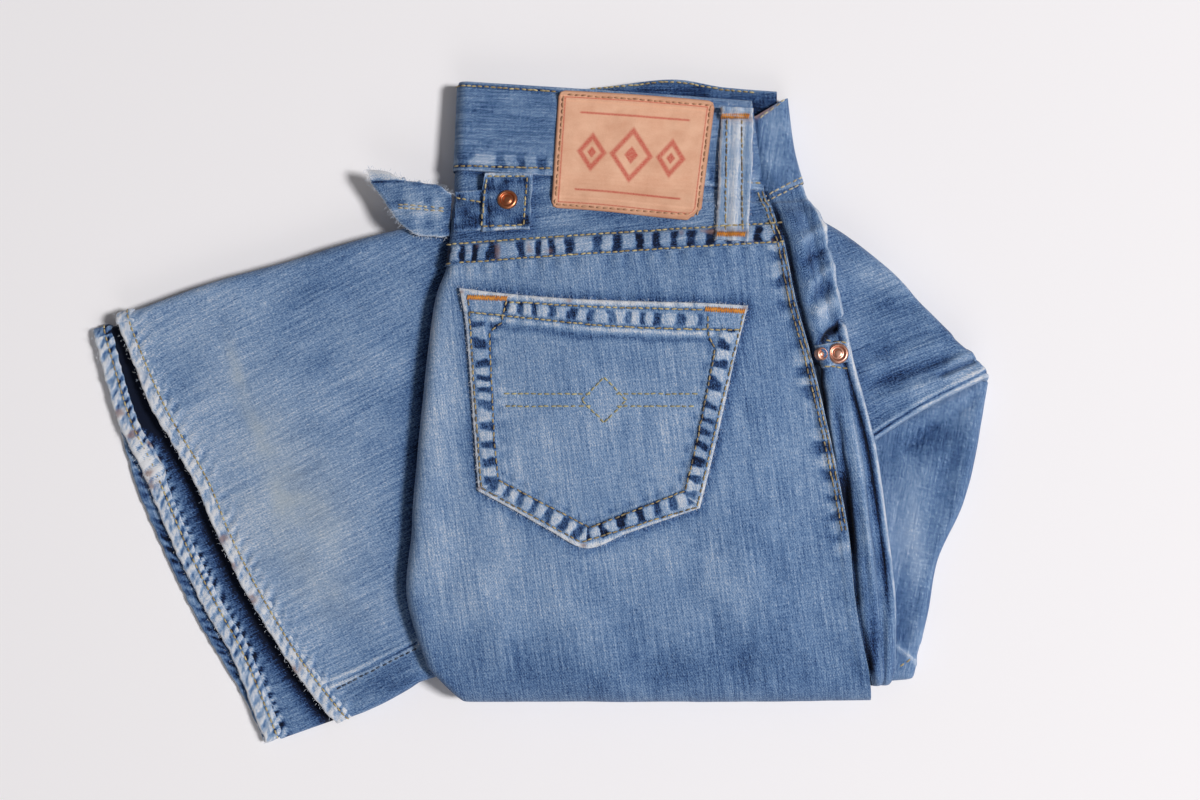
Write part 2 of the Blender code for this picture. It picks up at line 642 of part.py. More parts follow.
def thigh_face(rows, shares):
    """The thigh's stretch beside the seat, below the knee's seam, and its outer edge."""
    sections = table(THIGH_COLUMNS, THIGH_SECTIONS)
    row, share = np.meshgrid(rows, shares, indexing="ij")
    in_y, out_x, out_y = (smooth(sections[name], row) for name in THIGH_COLUMNS)
    in_x = lip_wall(in_y)
    across = share * (1 - THIGH_ROLL / np.hypot(out_x - in_x, out_y - in_y))
    xy = np.dstack([in_x + (out_x - in_x) * across, in_y + (out_y - in_y) * across])
    face = np.dstack([xy, np.full(row.shape, THIGH_LEVEL)])
    return face, np.column_stack([out_x[:, 0], out_y[:, 0]])


def build_knee():
    columns = np.linspace(0, KNEE_END, 11)
    face, fold, seam = knee_face(columns, np.linspace(0, 1, 10))
    share = np.linspace(0, 1, len(face))
    tip = np.array(KNEE_TIP[0]) + (np.array(KNEE_TIP[1]) - np.array(KNEE_TIP[0])) * share[:, None]
    over_thigh = THIGH_LEVEL + GAP
    rolls = [
        ("right", tip, LIFT + (over_thigh - LIFT) * ease(share), ROLL_STEPS),
        ("start", fold, LIFT, ROLL_STEPS),
        ("end", seam, over_thigh, ROLL_STEPS),
    ]
    cloth("knee_right", rolled(face, rolls), CLOTH, MATERIALS["denim"])
    steps = {"start": ROLL_STEPS, "right": ROLL_STEPS, "end": ROLL_STEPS}
    layers("layers_knee", rolled(face, rolls, KNEE_UNDER), steps, MATERIALS["denim_dark"])


def build_thigh():
    face, outline = thigh_face(np.linspace(0, len(THIGH_SECTIONS) - 1, 14), np.linspace(0, 1, 7))
    reach = fold_line(THIGH_FOLD, face)
    rolls = [("right", outline, LIFT, ROLL_STEPS), ("end", reach, LIFT, ROLL_STEPS)]
    cloth("thigh_right", rolled(face, rolls), CLOTH, MATERIALS["denim"])
    steps = {"right": ROLL_STEPS, "end": ROLL_STEPS}
    layers("layers_thigh", rolled(face, rolls, KNEE_UNDER), steps, MATERIALS["denim_dark"])


# --- The lower legs on the left ---


LEG_AT_SEAT = left_wall(np.arange(4, 12))
LEG_TOP_END = (LEG_AT_SEAT[0][0], LEG_TOP_AT_SEAT)
LEG_SEAT = (LEG_TOP_END, *LEG_AT_SEAT, LEG_LOW_AT_SEAT)


def leg_plan(u, v):
    """Plan points of the right leg's stretch on the left, u from hem to seat, v from top edge to lower edge."""
    return coons((*LEG_TOP, LEG_TOP_END), (*LEG_LOW, LEG_LOW_AT_SEAT), LEG_HEM, LEG_SEAT, u, v)


def leg_length(v):
    """How far it is along the right leg's stretch from hem to seat, at each v."""
    ends = [leg_plan(np.full_like(v, u), v) for u in (0.0, 0.25, 0.5, 0.75, 1.0)]
    return sum(np.linalg.norm(there - here, axis=-1) for here, there in zip(ends, ends[1:]))


def leg_rows(count):
    """Shares down the leg between the rolls of its two edges."""
    height = np.linalg.norm(np.array(LEG_LOW[0]) - np.array(LEG_TOP[0]))
    return np.linspace(SHIN_ROLL / height, 1 - SHIN_ROLL / height, count)


def leg_level(u, v):
    """The right leg's level: up from hem to seat, and a little down towards its lower edge."""
    rise = (RIGHT_LEG_SEAT_LEVEL - RIGHT_LEG_HEM_LEVEL) * ease(u / RIGHT_LEG_RISE_END)
    growth = ease(u / RIGHT_LEG_LOW_GROWTH)
    drop = RIGHT_LEG_LOW_DROP * ease((v - RIGHT_LEG_LOW_START) / (1 - RIGHT_LEG_LOW_START)) * growth
    return RIGHT_LEG_HEM_LEVEL + rise - drop


def leg_face(shares, rows, first):
    """The right leg's face from first mm past its hem to the seat."""
    v, share = np.meshgrid(rows, shares, indexing="ij")
    start = first / leg_length(v)
    u = start + (1 - start) * share
    return np.dstack([leg_plan(u, v), leg_level(u, v)])


def leg_edge(shares, v, first):
    """The right leg's outline along its top edge (v = 0) or lower edge (v = 1)."""
    v = np.full(len(shares), float(v))
    start = first / leg_length(v)
    return leg_plan(start + (1 - start) * shares, v)


LEFT_HEMS = table(LEFT_HEM_COLUMNS, LEFT_HEM_SECTIONS)


def left_hem_line(layer, v):
    """Plan points of the left leg's upper or lower hem edge, v from its top edge to its lower edge."""
    at = v * (len(LEFT_HEM_SECTIONS) - 1)
    return np.stack([smooth(LEFT_HEMS[layer + "_x"], at), smooth(LEFT_HEMS[layer + "_y"], at)], axis=-1)


def left_leg_reach(layer, v, last):
    """The left leg's hem line, and the way from there to last mm past the right leg's hem."""
    hem = left_hem_line(layer, v)
    reach = leg_plan(last / leg_length(v), v) - hem
    return hem, reach


def left_leg_face(shares, rows, first, last):
    """The left leg's face, from first mm past its own hem to last mm past the right leg's hem that covers it."""
    v, share = np.meshgrid(rows, shares, indexing="ij")
    hem, reach = left_leg_reach("upper", v, last)
    start = first / np.linalg.norm(reach, axis=-1)
    xy = hem + reach * (start + (1 - start) * share)[..., None]
    return np.dstack([xy, np.full(v.shape, LEFT_LEG_LEVEL)])


def left_leg_edge(shares, v, first, last):
    """The left leg's outline along its top edge (v = 0) or lower edge (v = 1)."""
    return left_leg_face(shares, np.array([float(v)]), first, last)[0, :, :2]


def hem_strip(name, plan_at, level):
    """A turned hem: a thick strip, HEM_WIDTH wide, its plan given at each distance from its edge."""
    rows = np.linspace(*HEM_ENDS, HEM_ROWS)
    strip = np.stack([plan_at(distance, rows) for distance in (0.0, HEM_WIDTH / 2, HEM_WIDTH)], axis=1)
    surface = np.dstack([strip, np.full(strip.shape[:2], level)])
    surface[:, 0, 2] -= HEM_DROP
    cloth(name, surface, HEM, MATERIALS["denim_pale"])


def right_hem_plan(distance, v):
    """The right leg's plan points at a distance from its hem's edge."""
    return leg_plan(distance / leg_length(v), v)


def left_hem_plan(layer):
    """The same for the left leg's upper or lower hem."""

    def plan(distance, v):
        hem, reach = left_leg_reach(layer, v, HEM_WIDTH)
        return hem + reach * (distance / np.linalg.norm(reach, axis=-1))[:, None]

    return plan


def build_legs():
    denim, dark = MATERIALS["denim"], MATERIALS["denim_dark"]
    rows = leg_rows(15)
    shares = np.linspace(0, 1, 11)
    seam = HEM_WIDTH + GAP
    rolls = [
        ("start", leg_edge(shares, 0, seam), RIGHT_LEG_BASE, ROLL_STEPS),
        ("end", leg_edge(shares, 1, seam), RIGHT_LEG_BASE, ROLL_STEPS),
    ]
    cloth("shin_right", rolled(leg_face(shares, rows, seam), rolls), CLOTH, denim)

    left_shares = np.linspace(0, 1, 4)
    covered = HEM_WIDTH - 3 * GAP
    left_rolls = [
        ("start", left_leg_edge(left_shares, 0, seam, covered), LEFT_LEG_BASE, ROLL_STEPS),
        ("end", left_leg_edge(left_shares, 1, seam, covered), LEFT_LEG_BASE, ROLL_STEPS),
    ]
    cloth("shin_left", rolled(left_leg_face(left_shares, rows, seam, covered), left_rolls), CLOTH, denim)

    hem_strip("hem_right_upper", right_hem_plan, RIGHT_LEG_HEM_LEVEL)
    hem_strip("hem_right_lower", right_hem_plan, RIGHT_LOWER_HEM_LEVEL)
    hem_strip("hem_left_upper", left_hem_plan("upper"), LEFT_HEM_LEVEL)
    hem_strip("hem_left_lower", left_hem_plan("lower"), HEM + HEM_DROP)

    core_shares = np.linspace(0, 1, 8)
    left_part = left_leg_face(left_shares, rows, seam, seam + GAP)
    right_part = leg_face(core_shares, rows, seam + 3 * GAP)
    face = np.concatenate([left_part, right_part], axis=1)
    edges = [
        np.concatenate([
            left_leg_edge(left_shares, v, seam, seam + GAP),
            leg_edge(core_shares, v, seam + 3 * GAP),
        ])
        for v in (0, 1)
    ]  # fmt: skip
    base = np.array([LEFT_LEG_BASE] * len(left_shares) + [RIGHT_LEG_BASE] * len(core_shares))
    inner = rolled(face, [("start", edges[0], base, ROLL_STEPS), ("end", edges[1], base, ROLL_STEPS)], UNDER)
    layers("layers_legs", inner, {"start": ROLL_STEPS, "end": ROLL_STEPS}, dark, UNDER_FOLD)


# --- What is sewn on the seat ---


def on_seat(xy, rise=GAP):
    """Plan points lifted onto the back."""
    return np.dstack([xy, seat_height(xy[..., 0], xy[..., 1]) + rise])


def quad(corners, rows, columns):
    """A grid over four corners, given clockwise from the top left."""
    top_left, top_right, low_right, low_left = np.array(corners, float)
    v, u = np.meshgrid(np.linspace(0, 1, rows), np.linspace(0, 1, columns), indexing="ij")
    u, v = u[..., None], v[..., None]
    return (top_left * (1 - u) + top_right * u) * (1 - v) + (low_left * (1 - u) + low_right * u) * v


def build_pocket():
    height = np.linalg.norm(np.array(POCKET_LOW[3]) - np.array(POCKET_TOP[3]))
    share = POCKET_HEM_DEPTH / height
    gap = GAP / height

    def face(first, last, rows):
        v, u = np.meshgrid(np.linspace(first, last, rows), np.linspace(0, 1, 14), indexing="ij")
        return on_seat(coons(POCKET_TOP, POCKET_LOW, POCKET_LEFT, POCKET_RIGHT, u, v))

    cloth("pocket_back", face(share + gap, 1, 11), CLOTH, MATERIALS["denim"], outward=True)
    cloth("pocket_hem", face(0, share, 3), POCKET_HEM_THICKNESS, MATERIALS["denim_pale"], outward=True)


def build_trims():
    pale, denim, copper = MATERIALS["denim_pale"], MATERIALS["denim"], MATERIALS["copper"]
    cloth("patch", on_seat(quad(PATCH_CORNERS, 9, 9), 2 * GAP), LEATHER, MATERIALS["leather"], outward=True)

    top, low = np.array(LOOP_ENDS)
    along = (low - top) / np.linalg.norm(low - top)
    side = np.array([-along[1], along[0]]) * LOOP_WIDTH / 2
    corners = (top - side, top + side, low + side, low - side)
    cloth("belt_loop", on_seat(quad(corners, 11, 4), 2 * GAP), LOOP_THICKNESS, pale, outward=True)

    strap = quad(CINCH_STRAP, 5, 3)
    tab = quad(CINCH_TAB, 5, 5)
    whole = np.concatenate([strap[:, :-1], tab], axis=1)
    cloth("cinch_tab", on_seat(whole, 2 * GAP), STRAP, denim, outward=True)

    sections = table(STRAP_END_COLUMNS, STRAP_END_SECTIONS)
    share, at = np.meshgrid(np.linspace(0, 1, 5), np.linspace(0, 5, 9), indexing="ij")
    top_x, top_y, low_x, low_y, level = (smooth(sections[name], at) for name in STRAP_END_COLUMNS)
    strap = np.dstack([top_x + (low_x - top_x) * share, top_y + (low_y - top_y) * share, level])
    cloth("cinch_strap_end", strap, STRAP - GAP, pale, outward=True)

    x, y = BUTTON_PLACE
    level = seat_height(x, y) + 2 * GAP + STRAP + 2 * GAP
    reach = BUTTON_RADIUS
    slope_x = (seat_height(x + reach, y) - seat_height(x - reach, y)) / (2 * reach)
    slope_y = (seat_height(x, y + reach) - seat_height(x, y - reach)) / (2 * reach)
    stud("cinch_button", (x, y, level), BUTTON_RADIUS, BUTTON_HEIGHT, copper, (-slope_x, -slope_y, 1.0))

    bar = quad(RIVET_BAR, 3, 4)
    bar = np.dstack([bar, np.full(bar.shape[:2], RIVET_BAR_LEVEL)])
    cloth("rivet_bar", bar, CLOTH, pale, outward=True)
    level = RIVET_BAR_LEVEL + CLOTH + GAP
    for number, (x, y, radius) in enumerate(RIVETS, 1):
        stud(f"rivet_{number}", (x, y, level), radius, RIVET_HEIGHT, copper)


def stud(name, place, radius, height, material, up=(0.0, 0.0, 1.0)):
    """A round stud with a raised rim, its underside flat, turned about its axis, which points up."""
    shape = bmesh.new()
    angles = [2 * math.pi * step / STUD_SIDES for step in range(STUD_SIDES)]
    rings = []
    for share, rise in STUD_PROFILE:
        out, level = radius * share * MM, rise * height * MM
        turns = angles if share else angles[:1]
        rings.append([shape.verts.new((math.cos(turn) * out, math.sin(turn) * out, level)) for turn in turns])
    for inner, outer in zip(rings, rings[1:]):
        for step in range(STUD_SIDES):
            after = (step + 1) % STUD_SIDES
            if len(inner) == 1:
                shape.faces.new((inner[0], outer[step], outer[after]))
            else:
                shape.faces.new((inner[step], outer[step], outer[after], inner[after]))
    shape.faces.new(list(reversed(rings[-1])))
    bmesh.ops.recalc_face_normals(shape, faces=shape.faces)
    mesh = bpy.data.meshes.new(name)
    shape.to_mesh(mesh)
    shape.free()
    mesh.materials.append(material)
    obj = bpy.data.objects.new(name, mesh)
    obj.location = [float(value) * MM for value in place]
    obj.rotation_euler = mathutils.Vector(up).to_track_quat("Z", "Y").to_euler()
    COLLECTION.objects.link(obj)


def clear_scene():
    for obj in list(bpy.data.objects):
        bpy.data.objects.remove(obj)


def new_material(name, color, roughness, metallic=0.0):
    material = bpy.data.materials.new(name)
    material.use_nodes = True
    shader = material.node_tree.nodes["Principled BSDF"]
    shader.inputs["Base Color"].default_value = color
    shader.inputs["Roughness"].default_value = roughness
    shader.inputs["Metallic"].default_value = metallic
    return material


clear_scene()
COLLECTION = bpy.data.collections.new("bootcut_jeans")
bpy.context.scene.collection.children.link(COLLECTION)
MATERIALS = {
    "denim": new_material("denim", DENIM, 0.9),
    "denim_dark": new_material("denim_dark", DENIM_DARK, 0.9),
    "denim_pale": new_material("denim_pale", DENIM_PALE, 0.9),
    "leather": new_material("leather", TAN, 0.75),
    "copper": new_material("copper", COPPER, 0.4, 1.0),
}
build_seat()
build_front_band()
build_lower_bands()
build_knee()
build_thigh()
build_legs()
build_pocket()
build_trims()
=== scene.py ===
import math

import bpy
import numpy as np
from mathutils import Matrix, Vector


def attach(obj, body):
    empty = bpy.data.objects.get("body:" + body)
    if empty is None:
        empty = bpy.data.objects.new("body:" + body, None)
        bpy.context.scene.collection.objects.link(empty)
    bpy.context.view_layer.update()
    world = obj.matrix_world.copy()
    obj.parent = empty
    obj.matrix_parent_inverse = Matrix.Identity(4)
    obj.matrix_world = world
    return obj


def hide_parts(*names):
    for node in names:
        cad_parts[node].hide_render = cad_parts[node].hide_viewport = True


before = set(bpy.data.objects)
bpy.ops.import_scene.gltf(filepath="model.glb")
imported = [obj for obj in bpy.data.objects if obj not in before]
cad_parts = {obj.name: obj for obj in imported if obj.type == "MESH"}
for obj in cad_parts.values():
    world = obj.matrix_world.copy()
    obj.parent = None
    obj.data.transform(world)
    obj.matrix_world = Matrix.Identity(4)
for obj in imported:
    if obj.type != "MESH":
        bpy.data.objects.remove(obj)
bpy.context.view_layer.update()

mm = 0.001  # every length below is in millimetres

# the folded shape, from the same tables as the solids' source
seatColumns = (  # the left edge, the outseam and the front's folded lip, then heights and lowest points
    "leftX", "leftY", "seamX", "seamY", "lipX", "lipY",
    "leftZ", "midZ", "seamZ", "lipZ", "leftBase", "lipBase",
)
seatSections = (
    (-41.5, 166.4, 106.0, 156.4, 124.5, 159.3, 17.5, 19.0, 17.0, 15.5, 1.5, 1.5),
    (-43.2, 122.1, 111.7, 111.6, 132.2, 114.8, 20.5, 23.0, 21.5, 19.0, 1.5, 1.5),
    (-43.4, 107.0, 114.7, 104.0, 136.6, 105.0, 23.6, 26.3, 24.5, 23.0, 1.5, 1.5),
    (-43.7, 100.4, 116.3, 98.9, 139.2, 100.2, 26.2, 28.2, 26.4, 27.0, 19.6, 19.5),
    (-44.5, 88.0, 118.5, 91.5, 142.0, 91.2, 28.6, 31.2, 29.0, 28.6, 19.8, 22.6),
    (-46.1, 73.2, 120.9, 84.1, 143.8, 83.5, 31.0, 34.2, 31.0, 30.2, 19.8, 22.6),
    (-51.6, 56.2, 126.4, 56.2, 149.5, 55.0, 32.5, 36.4, 31.0, 30.8, 19.8, 22.6),
    (-55.5, 26.7, 134.2, 27.6, 155.5, 26.0, 33.0, 37.0, 30.6, 30.8, 19.8, 22.6),
    (-59.9, -14.6, 144.0, -14.6, 166.6, -15.5, 33.0, 37.0, 30.2, 30.8, 19.8, 22.6),
    (-63.3, -56.9, 152.3, -56.9, 173.3, -58.0, 33.0, 36.2, 30.0, 29.4, 19.6, 12.8),
    (-66.0, -86.0, 155.4, -87.4, 177.0, -89.0, 32.2, 35.0, 30.0, 29.0, 19.2, 12.6),
    (-62.8, -104.0, 158.0, -103.8, 177.4, -105.0, 31.0, 34.0, 29.2, 28.2, 18.6, 12.6),
    (-56.0, -126.0, 162.8, -126.0, 177.3, -126.0, 28.0, 31.6, 27.4, 26.4, 17.4, 12.6),
)
bandSeam, yokeSeam, seatEnd = 1, 5, 12
backFold = ((-35.0, -144.5), (165.4, -143.6))
frontFold = ((165.8, -136.0), (172.0, -136.0))
frontRelief = ((0.0, 0.0), (0.3, 2.6), (0.55, 2.2), (0.8, -1.2), (1.0, 0.0))  # share across, rise
frontBandSections = (  # inner x, y, outer x, y, inner z, outer z
    (107.8, 148.8, 124.5, 159.0, 17.4, 15.8),
    (111.9, 130.1, 127.6, 133.6, 20.0, 17.4),
    (117.9, 110.8, 132.3, 116.0, 22.0, 19.2),
)
kneeSections = (  # fold x, y, seam x, y
    (137.0, 99.4, 164.4, -16.0), (153.7, 89.8, 178.5, -6.5), (175.6, 72.3, 192.0, 1.8),
    (191.6, 55.4, 205.0, 8.8), (208.0, 38.9, 216.0, 14.2), (216.8, 31.2, 222.6, 17.6),
)
kneeTip = ((219.5, 27.5), (224.6, 19.6))
thighSections = (  # inner y, outer x, y
    (-15.0, 226.6, 15.8), (-35.0, 221.0, -15.7), (-60.0, 213.9, -45.4),
    (-88.0, 200.8, -74.0), (-108.0, 196.2, -100.0), (-124.0, 190.6, -122.0),
)
thighFold = ((177.4, -135.2), (184.6, -134.6))
legTop = ((-213.0, 48.3), (-200.9, 53.1), (-163.6, 66.5), (-124.9, 77.0), (-99.3, 84.9), (-70.2, 92.8))
legLow = ((-103.7, -154.3), (-97.3, -153.5), (-81.1, -146.8), (-68.0, -139.8))
legHem = (
    (-213.0, 48.3), (-208.4, 35.1), (-193.4, 0.5), (-172.9, -34.6), (-161.4, -62.1),
    (-145.8, -92.7), (-125.3, -126.2), (-103.7, -154.3),
)
leftHems = (  # upper layer x, y, lower layer x, y
    (-226.6, 39.4, -226.2, 38.8), (-221.5, 21.2, -221.4, 20.0),
    (-212.9, -6.7, -213.0, -10.0), (-201.8, -28.9, -206.0, -36.0),
    (-184.1, -70.9, -193.6, -66.0), (-167.9, -102.3, -176.6, -101.0),
    (-154.7, -127.1, -159.0, -130.5), (-138.4, -167.3, -141.0, -165.0),
)
pocketTop = ((-38.9, 61.8), (-15.1, 58.8), (16.1, 56.2), (50.8, 54.9), (79.5, 54.2), (102.3, 53.1))
pocketLeft = ((-38.9, 61.8), (-36.0, 46.0), (-33.6, 20.0), (-31.6, -8.0), (-29.4, -37.5))
pocketRight = ((102.3, 53.1), (95.8, 28.0), (90.0, 2.0), (84.4, -22.0), (78.6, -45.6))
pocketLow = (
    (-29.4, -37.5), (-12.7, -46.3), (4.6, -56.1), (23.4, -65.2), (43.0, -58.0), (62.3, -51.2), (78.6, -45.6),
)
patchCorners = ((9.6, 161.0), (87.2, 155.4), (79.2, 95.8), (6.0, 102.2))

leftRoll, lipRoll, kneeRoll, kneeSeamRoll, thighRoll, shinRoll = 6.0, 5.0, 9.0, 4.0, 7.0, 6.0
floorBase = 0.7  # how low a rolled edge comes to the floor
bandBase = 0.4  # and the waistband's turned edges
rollEnd = math.radians(-84)


def ease(value):  # 3t^2 - 2t^3, kept between 0 and 1
    value = np.clip(value, 0, 1)
    return value * value * (3 - 2 * value)


def bell(value, centre, width):  # exp(-((value - centre) / width)^2)
    return np.exp(-(((value - centre) / width) ** 2))


def bells(value, table):  # bells added, each as amount, centre and width
    return sum(amount * bell(value, centre, width) for amount, centre, width in table)


def smooth(values, at):  # the Catmull-Rom curve through values at 0, 1, 2, ...
    values, at = np.asarray(values, float), np.asarray(at, float)
    last = len(values) - 1
    low = np.clip(np.floor(at).astype(int), 0, last - 1)
    t = at - low
    a, b, c, d = (values[np.clip(low + k, 0, last)] for k in (-1, 0, 1, 2))
    return b + 0.5 * t * (c - a + t * (2 * a - 5 * b + 4 * c - d + t * (3 * (b - c) + d - a)))


def straight(values, at):  # straight lines between the values
    return np.interp(at, np.arange(len(values)), values)


def unit(vectors):  # each divided by its length
    return vectors / np.maximum(np.linalg.norm(vectors, axis=-1, keepdims=True), 1e-9)


def lengths(points):  # the length along a polyline at each of its points
    return np.concatenate([[0], np.cumsum(np.linalg.norm(np.diff(points, axis=0), axis=1))])


def placeAt(points, steps, length):  # the places on a polyline at lengths along it, steps from lengths()
    return np.stack([np.interp(length, steps, column) for column in points.T], axis=-1)


def path(points, share):  # the smooth curve through points, at shares of its length
    points = np.array(points, float)
    steps = lengths(points)
    at = np.interp(share, steps / steps[-1], np.arange(len(points)))
    return np.stack([smooth(points[:, 0], at), smooth(points[:, 1], at)], axis=-1)


def coons(top, low, left, right, u, v):  # edges blended both ways, less the corners blended twice
    a, b = u[..., None], v[..., None]
    edges = path(top, u) * (1 - b) + path(low, u) * b + path(left, v) * (1 - a) + path(right, v) * a
    ends = [np.array(p) for p in (top[0], top[-1], low[0], low[-1])]
    return edges - (ends[0] * (1 - a) + ends[1] * a) * (1 - b) - (ends[2] * (1 - a) + ends[3] * a) * b


def cells(rows, cols):  # row and column parameters of a grid
    return np.meshgrid(rows, cols, indexing="ij")


def lattice(x, y, size, seed):  # value noise from -1 to 1: random lattice values joined by smooth steps
    values = np.random.default_rng(seed).uniform(-1, 1, (64, 64))
    a, b = np.asarray(x) / size + 640, np.asarray(y) / size + 640
    i, j = np.floor(a).astype(int), np.floor(b).astype(int)
    s, t = ease(a - i), ease(b - j)
    at = lambda di, dj: values[(i + di) % 64, (j + dj) % 64]
    return (at(0, 0) * (1 - s) + at(1, 0) * s) * (1 - t) + (at(0, 1) * (1 - s) + at(1, 1) * s) * t


def waver(along, size, seed, row=0):  # the same noise along a line
    return lattice(along, along * 0 + row, size, seed)


def ripple(along, pitch, stray, size, seed, shift=0.0):  # sin(2 pi (along / pitch + stray noise))
    return np.sin(2 * np.pi * ((along + shift) / pitch + stray * waver(along, size, seed)))


def nearLine(x, y, points):  # signed distance to a polyline (+ to its left) and the length along it
    best, along, side, start = np.full(np.shape(x), 1e9), np.zeros(np.shape(x)), np.ones(np.shape(x)), 0.0
    for (ax, ay), (bx, by) in zip(points, points[1:]):
        length = math.hypot(bx - ax, by - ay)
        ux, uy = (bx - ax) / length, (by - ay) / length
        t = np.clip((x - ax) * ux + (y - ay) * uy, 0, length)
        dx, dy = x - ax - ux * t, y - ay - uy * t
        gap = np.hypot(dx, dy)
        closer = gap < best
        best, along = np.where(closer, gap, best), np.where(closer, start + t, along)
        side = np.where(closer, np.where(ux * dy - uy * dx < 0, -1.0, 1.0), side)
        start += length
    return best * side, along


def ladder(off, along, low, high, pitch, seed, slant=0.0, soft=0.8):
    # blocks across a seam, from low to high: inside(off) * size(along) * tanh(3.5 (sin(2 pi phase) + 0.15)),
    # above 0 where the cloth is raised and pale, below 0 where it is sunk and dark
    ragged = 0.5 * lattice(along, off, 2.6, seed + 2)
    middle, half = (low + high) / 2, (high - low) / 2
    inside = ease((half + soft + ragged - np.abs(off - middle)) / (2 * soft))
    phase = (along + slant * off + ragged) / pitch
    phase = phase + 0.42 * waver(along, pitch * 2.1, seed) + 0.12 * lattice(along, off, 4.0, seed + 3)
    size = 0.78 + 0.24 * waver(along, pitch * 1.3, seed + 1, 9)
    return inside * size * np.tanh(3.5 * (np.sin(2 * np.pi * phase) + 0.15))


def tone(blocks, pale=0.2, dark=0.56):  # how blocks fade and darken the cloth
    return np.where(blocks > 0, pale, dark) * blocks


def ridge(x, y, points, width, seed):
    # a fold along a line: exp(-(off / width)^2), fading to nothing at both ends
    off, along = nearLine(x, y, points)
    total = sum(math.dist(a, b) for a, b in zip(points, points[1:]))
    taper = ease(along / (0.22 * total)) * ease((total - along) / (0.22 * total))
    return bell(off, 0, width * (1 + 0.3 * waver(along, 14, seed))) * taper


def creases(x, y, folds, seed):  # ridges and troughs added, each as points, width and height
    return sum(height * ridge(x, y, line, width, seed + k) for k, (line, width, height) in enumerate(folds))


def stitchShade(x, y, lines):  # 1 on the lines, where thread pulls the cloth in, gone within 2 mm: a mask for painted shade along the stitches
    return np.maximum.reduce([bell(nearLine(x, y, line)[0], 0, 0.8) for line in lines])


def blob(x, y, cx, cy, rx, ry, turn=0.0):  # a soft round patch, 1 in its middle
    c, s = math.cos(math.radians(turn)), math.sin(math.radians(turn))
    a, b = (x - cx) * c + (y - cy) * s, -(x - cx) * s + (y - cy) * c
    return np.exp(-((a / rx) ** 2) - (b / ry) ** 2)


def patches(x, y, table):  # soft round patches added, each as amount, x, y, two radii and a turn
    return sum(amount * blob(x, y, *place) for amount, *place in table)


def handleNoise(x, y, seed):  # the soft unevenness of handled cloth
    layers = enumerate(((0.45, 46), (0.28, 21), (0.1, 8)))
    return sum(amount * lattice(x, y, size, seed + k) for k, (amount, size) in layers)


def turned(values, side):  # a grid turned so that one side is its first column
    if side == "right":
        return values[:, ::-1]
    if side == "start":
        return values.swapaxes(0, 1)
    return values[::-1].swapaxes(0, 1) if side == "end" else values


def turnedBack(values, side):  # and turned back
    return values.swapaxes(0, 1)[::-1] if side == "end" else turned(values, side)


def padEnds(values, before, total):  # the first and last values repeated up to a total count
    values = np.asarray(values, float)
    after = total - before - len(values)
    return np.concatenate([values[:1]] * before + [values] + [values[-1:]] * after)


def rolled(face, rolls):
    # each edge of the face turns out to its outline and under:
    # xy = edge + reach cos(a), z = base + (edge - base) (1 + sin a) / 2
    grid, plan, added = face, face[..., :2], {"rows": 0, "columns": 0}
    for side, outline, base, steps in rolls:
        along = "columns" if side in ("start", "end") else "rows"
        grid, plan = turned(grid, side), turned(plan, side)
        edge, flat, inner = grid[:, 0], plan[:, 0], turned(face, side)[:, 0]
        reach = padEnds(np.asarray(outline, float) - inner[:, :2], added[along], len(edge))
        base = padEnds(np.broadcast_to(np.asarray(base, float), len(inner)), added[along], len(edge))
        base = np.minimum(base, edge[:, 2])
        columns, plans = [], []
        for angle in np.linspace(rollEnd, math.pi / 2, steps + 1)[:-1]:
            share = (math.pi / 2 - angle) / (math.pi / 2 - rollEnd)
            xy = edge[:, :2] * (1 - share) + flat * share + reach * math.cos(angle)
            columns.append(np.column_stack([xy, base + (edge[:, 2] - base) * (1 + math.sin(angle)) / 2]))
            plans.append(flat + reach * math.cos(rollEnd) * share)
        grid = np.concatenate([np.stack(columns, axis=1), grid], axis=1)
        plan = np.concatenate([np.stack(plans, axis=1), plan], axis=1)
        grid, plan = turnedBack(grid, side), turnedBack(plan, side)
        added["columns"] += steps if side == "left" else 0
        added["rows"] += steps if side == "start" else 0
    return grid


def normals(grid):  # the cross product of the grid's two directions, up where rows run down and columns right
    across, down = np.gradient(grid, axis=1), np.gradient(grid, axis=0)
    return unit(np.cross(across, -down))


def raised(grid, relief):  # moved along its normals
    return grid + normals(grid) * relief[..., None]


def clothUv(grid, grain):
    # centimetres of cloth: the plan plus what each roll hides, turned so that v runs along the warp
    flat = grid[..., :2].copy()
    for axis in (0, 1):
        steps = np.diff(grid, axis=axis)
        hidden = np.linalg.norm(steps, axis=2) - np.linalg.norm(steps[..., :2], axis=2)
        total = np.cumsum(np.insert(hidden, 0, 0, axis=axis), axis=axis)
        middle = total.shape[axis] // 2
        total = total - np.take(total, [middle], axis=axis)
        ends = np.take(grid, [0, -1], axis=axis)[..., :2].mean(axis=1 - axis)
        toward = (ends[1] - ends[0]) / max(np.linalg.norm(ends[1] - ends[0]), 1.0)
        flat += total[..., None] * toward
    c, s = math.cos(math.radians(grain)), math.sin(math.radians(grain))
    warp, weft = flat[..., 0] * c + flat[..., 1] * s, flat[..., 0] * s - flat[..., 1] * c
    return np.stack([weft, warp], axis=-1) / 10


def sceneObject(name, data):
    obj = bpy.data.objects.new(name, data)
    bpy.context.scene.collection.objects.link(obj)
    return obj


def pieceObject(name, mesh, material):
    mesh.materials.append(material)
    obj = sceneObject(name, mesh)
    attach(obj, "root")
    return obj


def facesObject(name, points, faces, material, smoothShade=True):  # from points and lists of their numbers
    mesh = bpy.data.meshes.new(name)
    mesh.from_pydata((points * mm).tolist(), [], faces)
    if smoothShade:
        mesh.shade_smooth()
    return pieceObject(name, mesh, material)


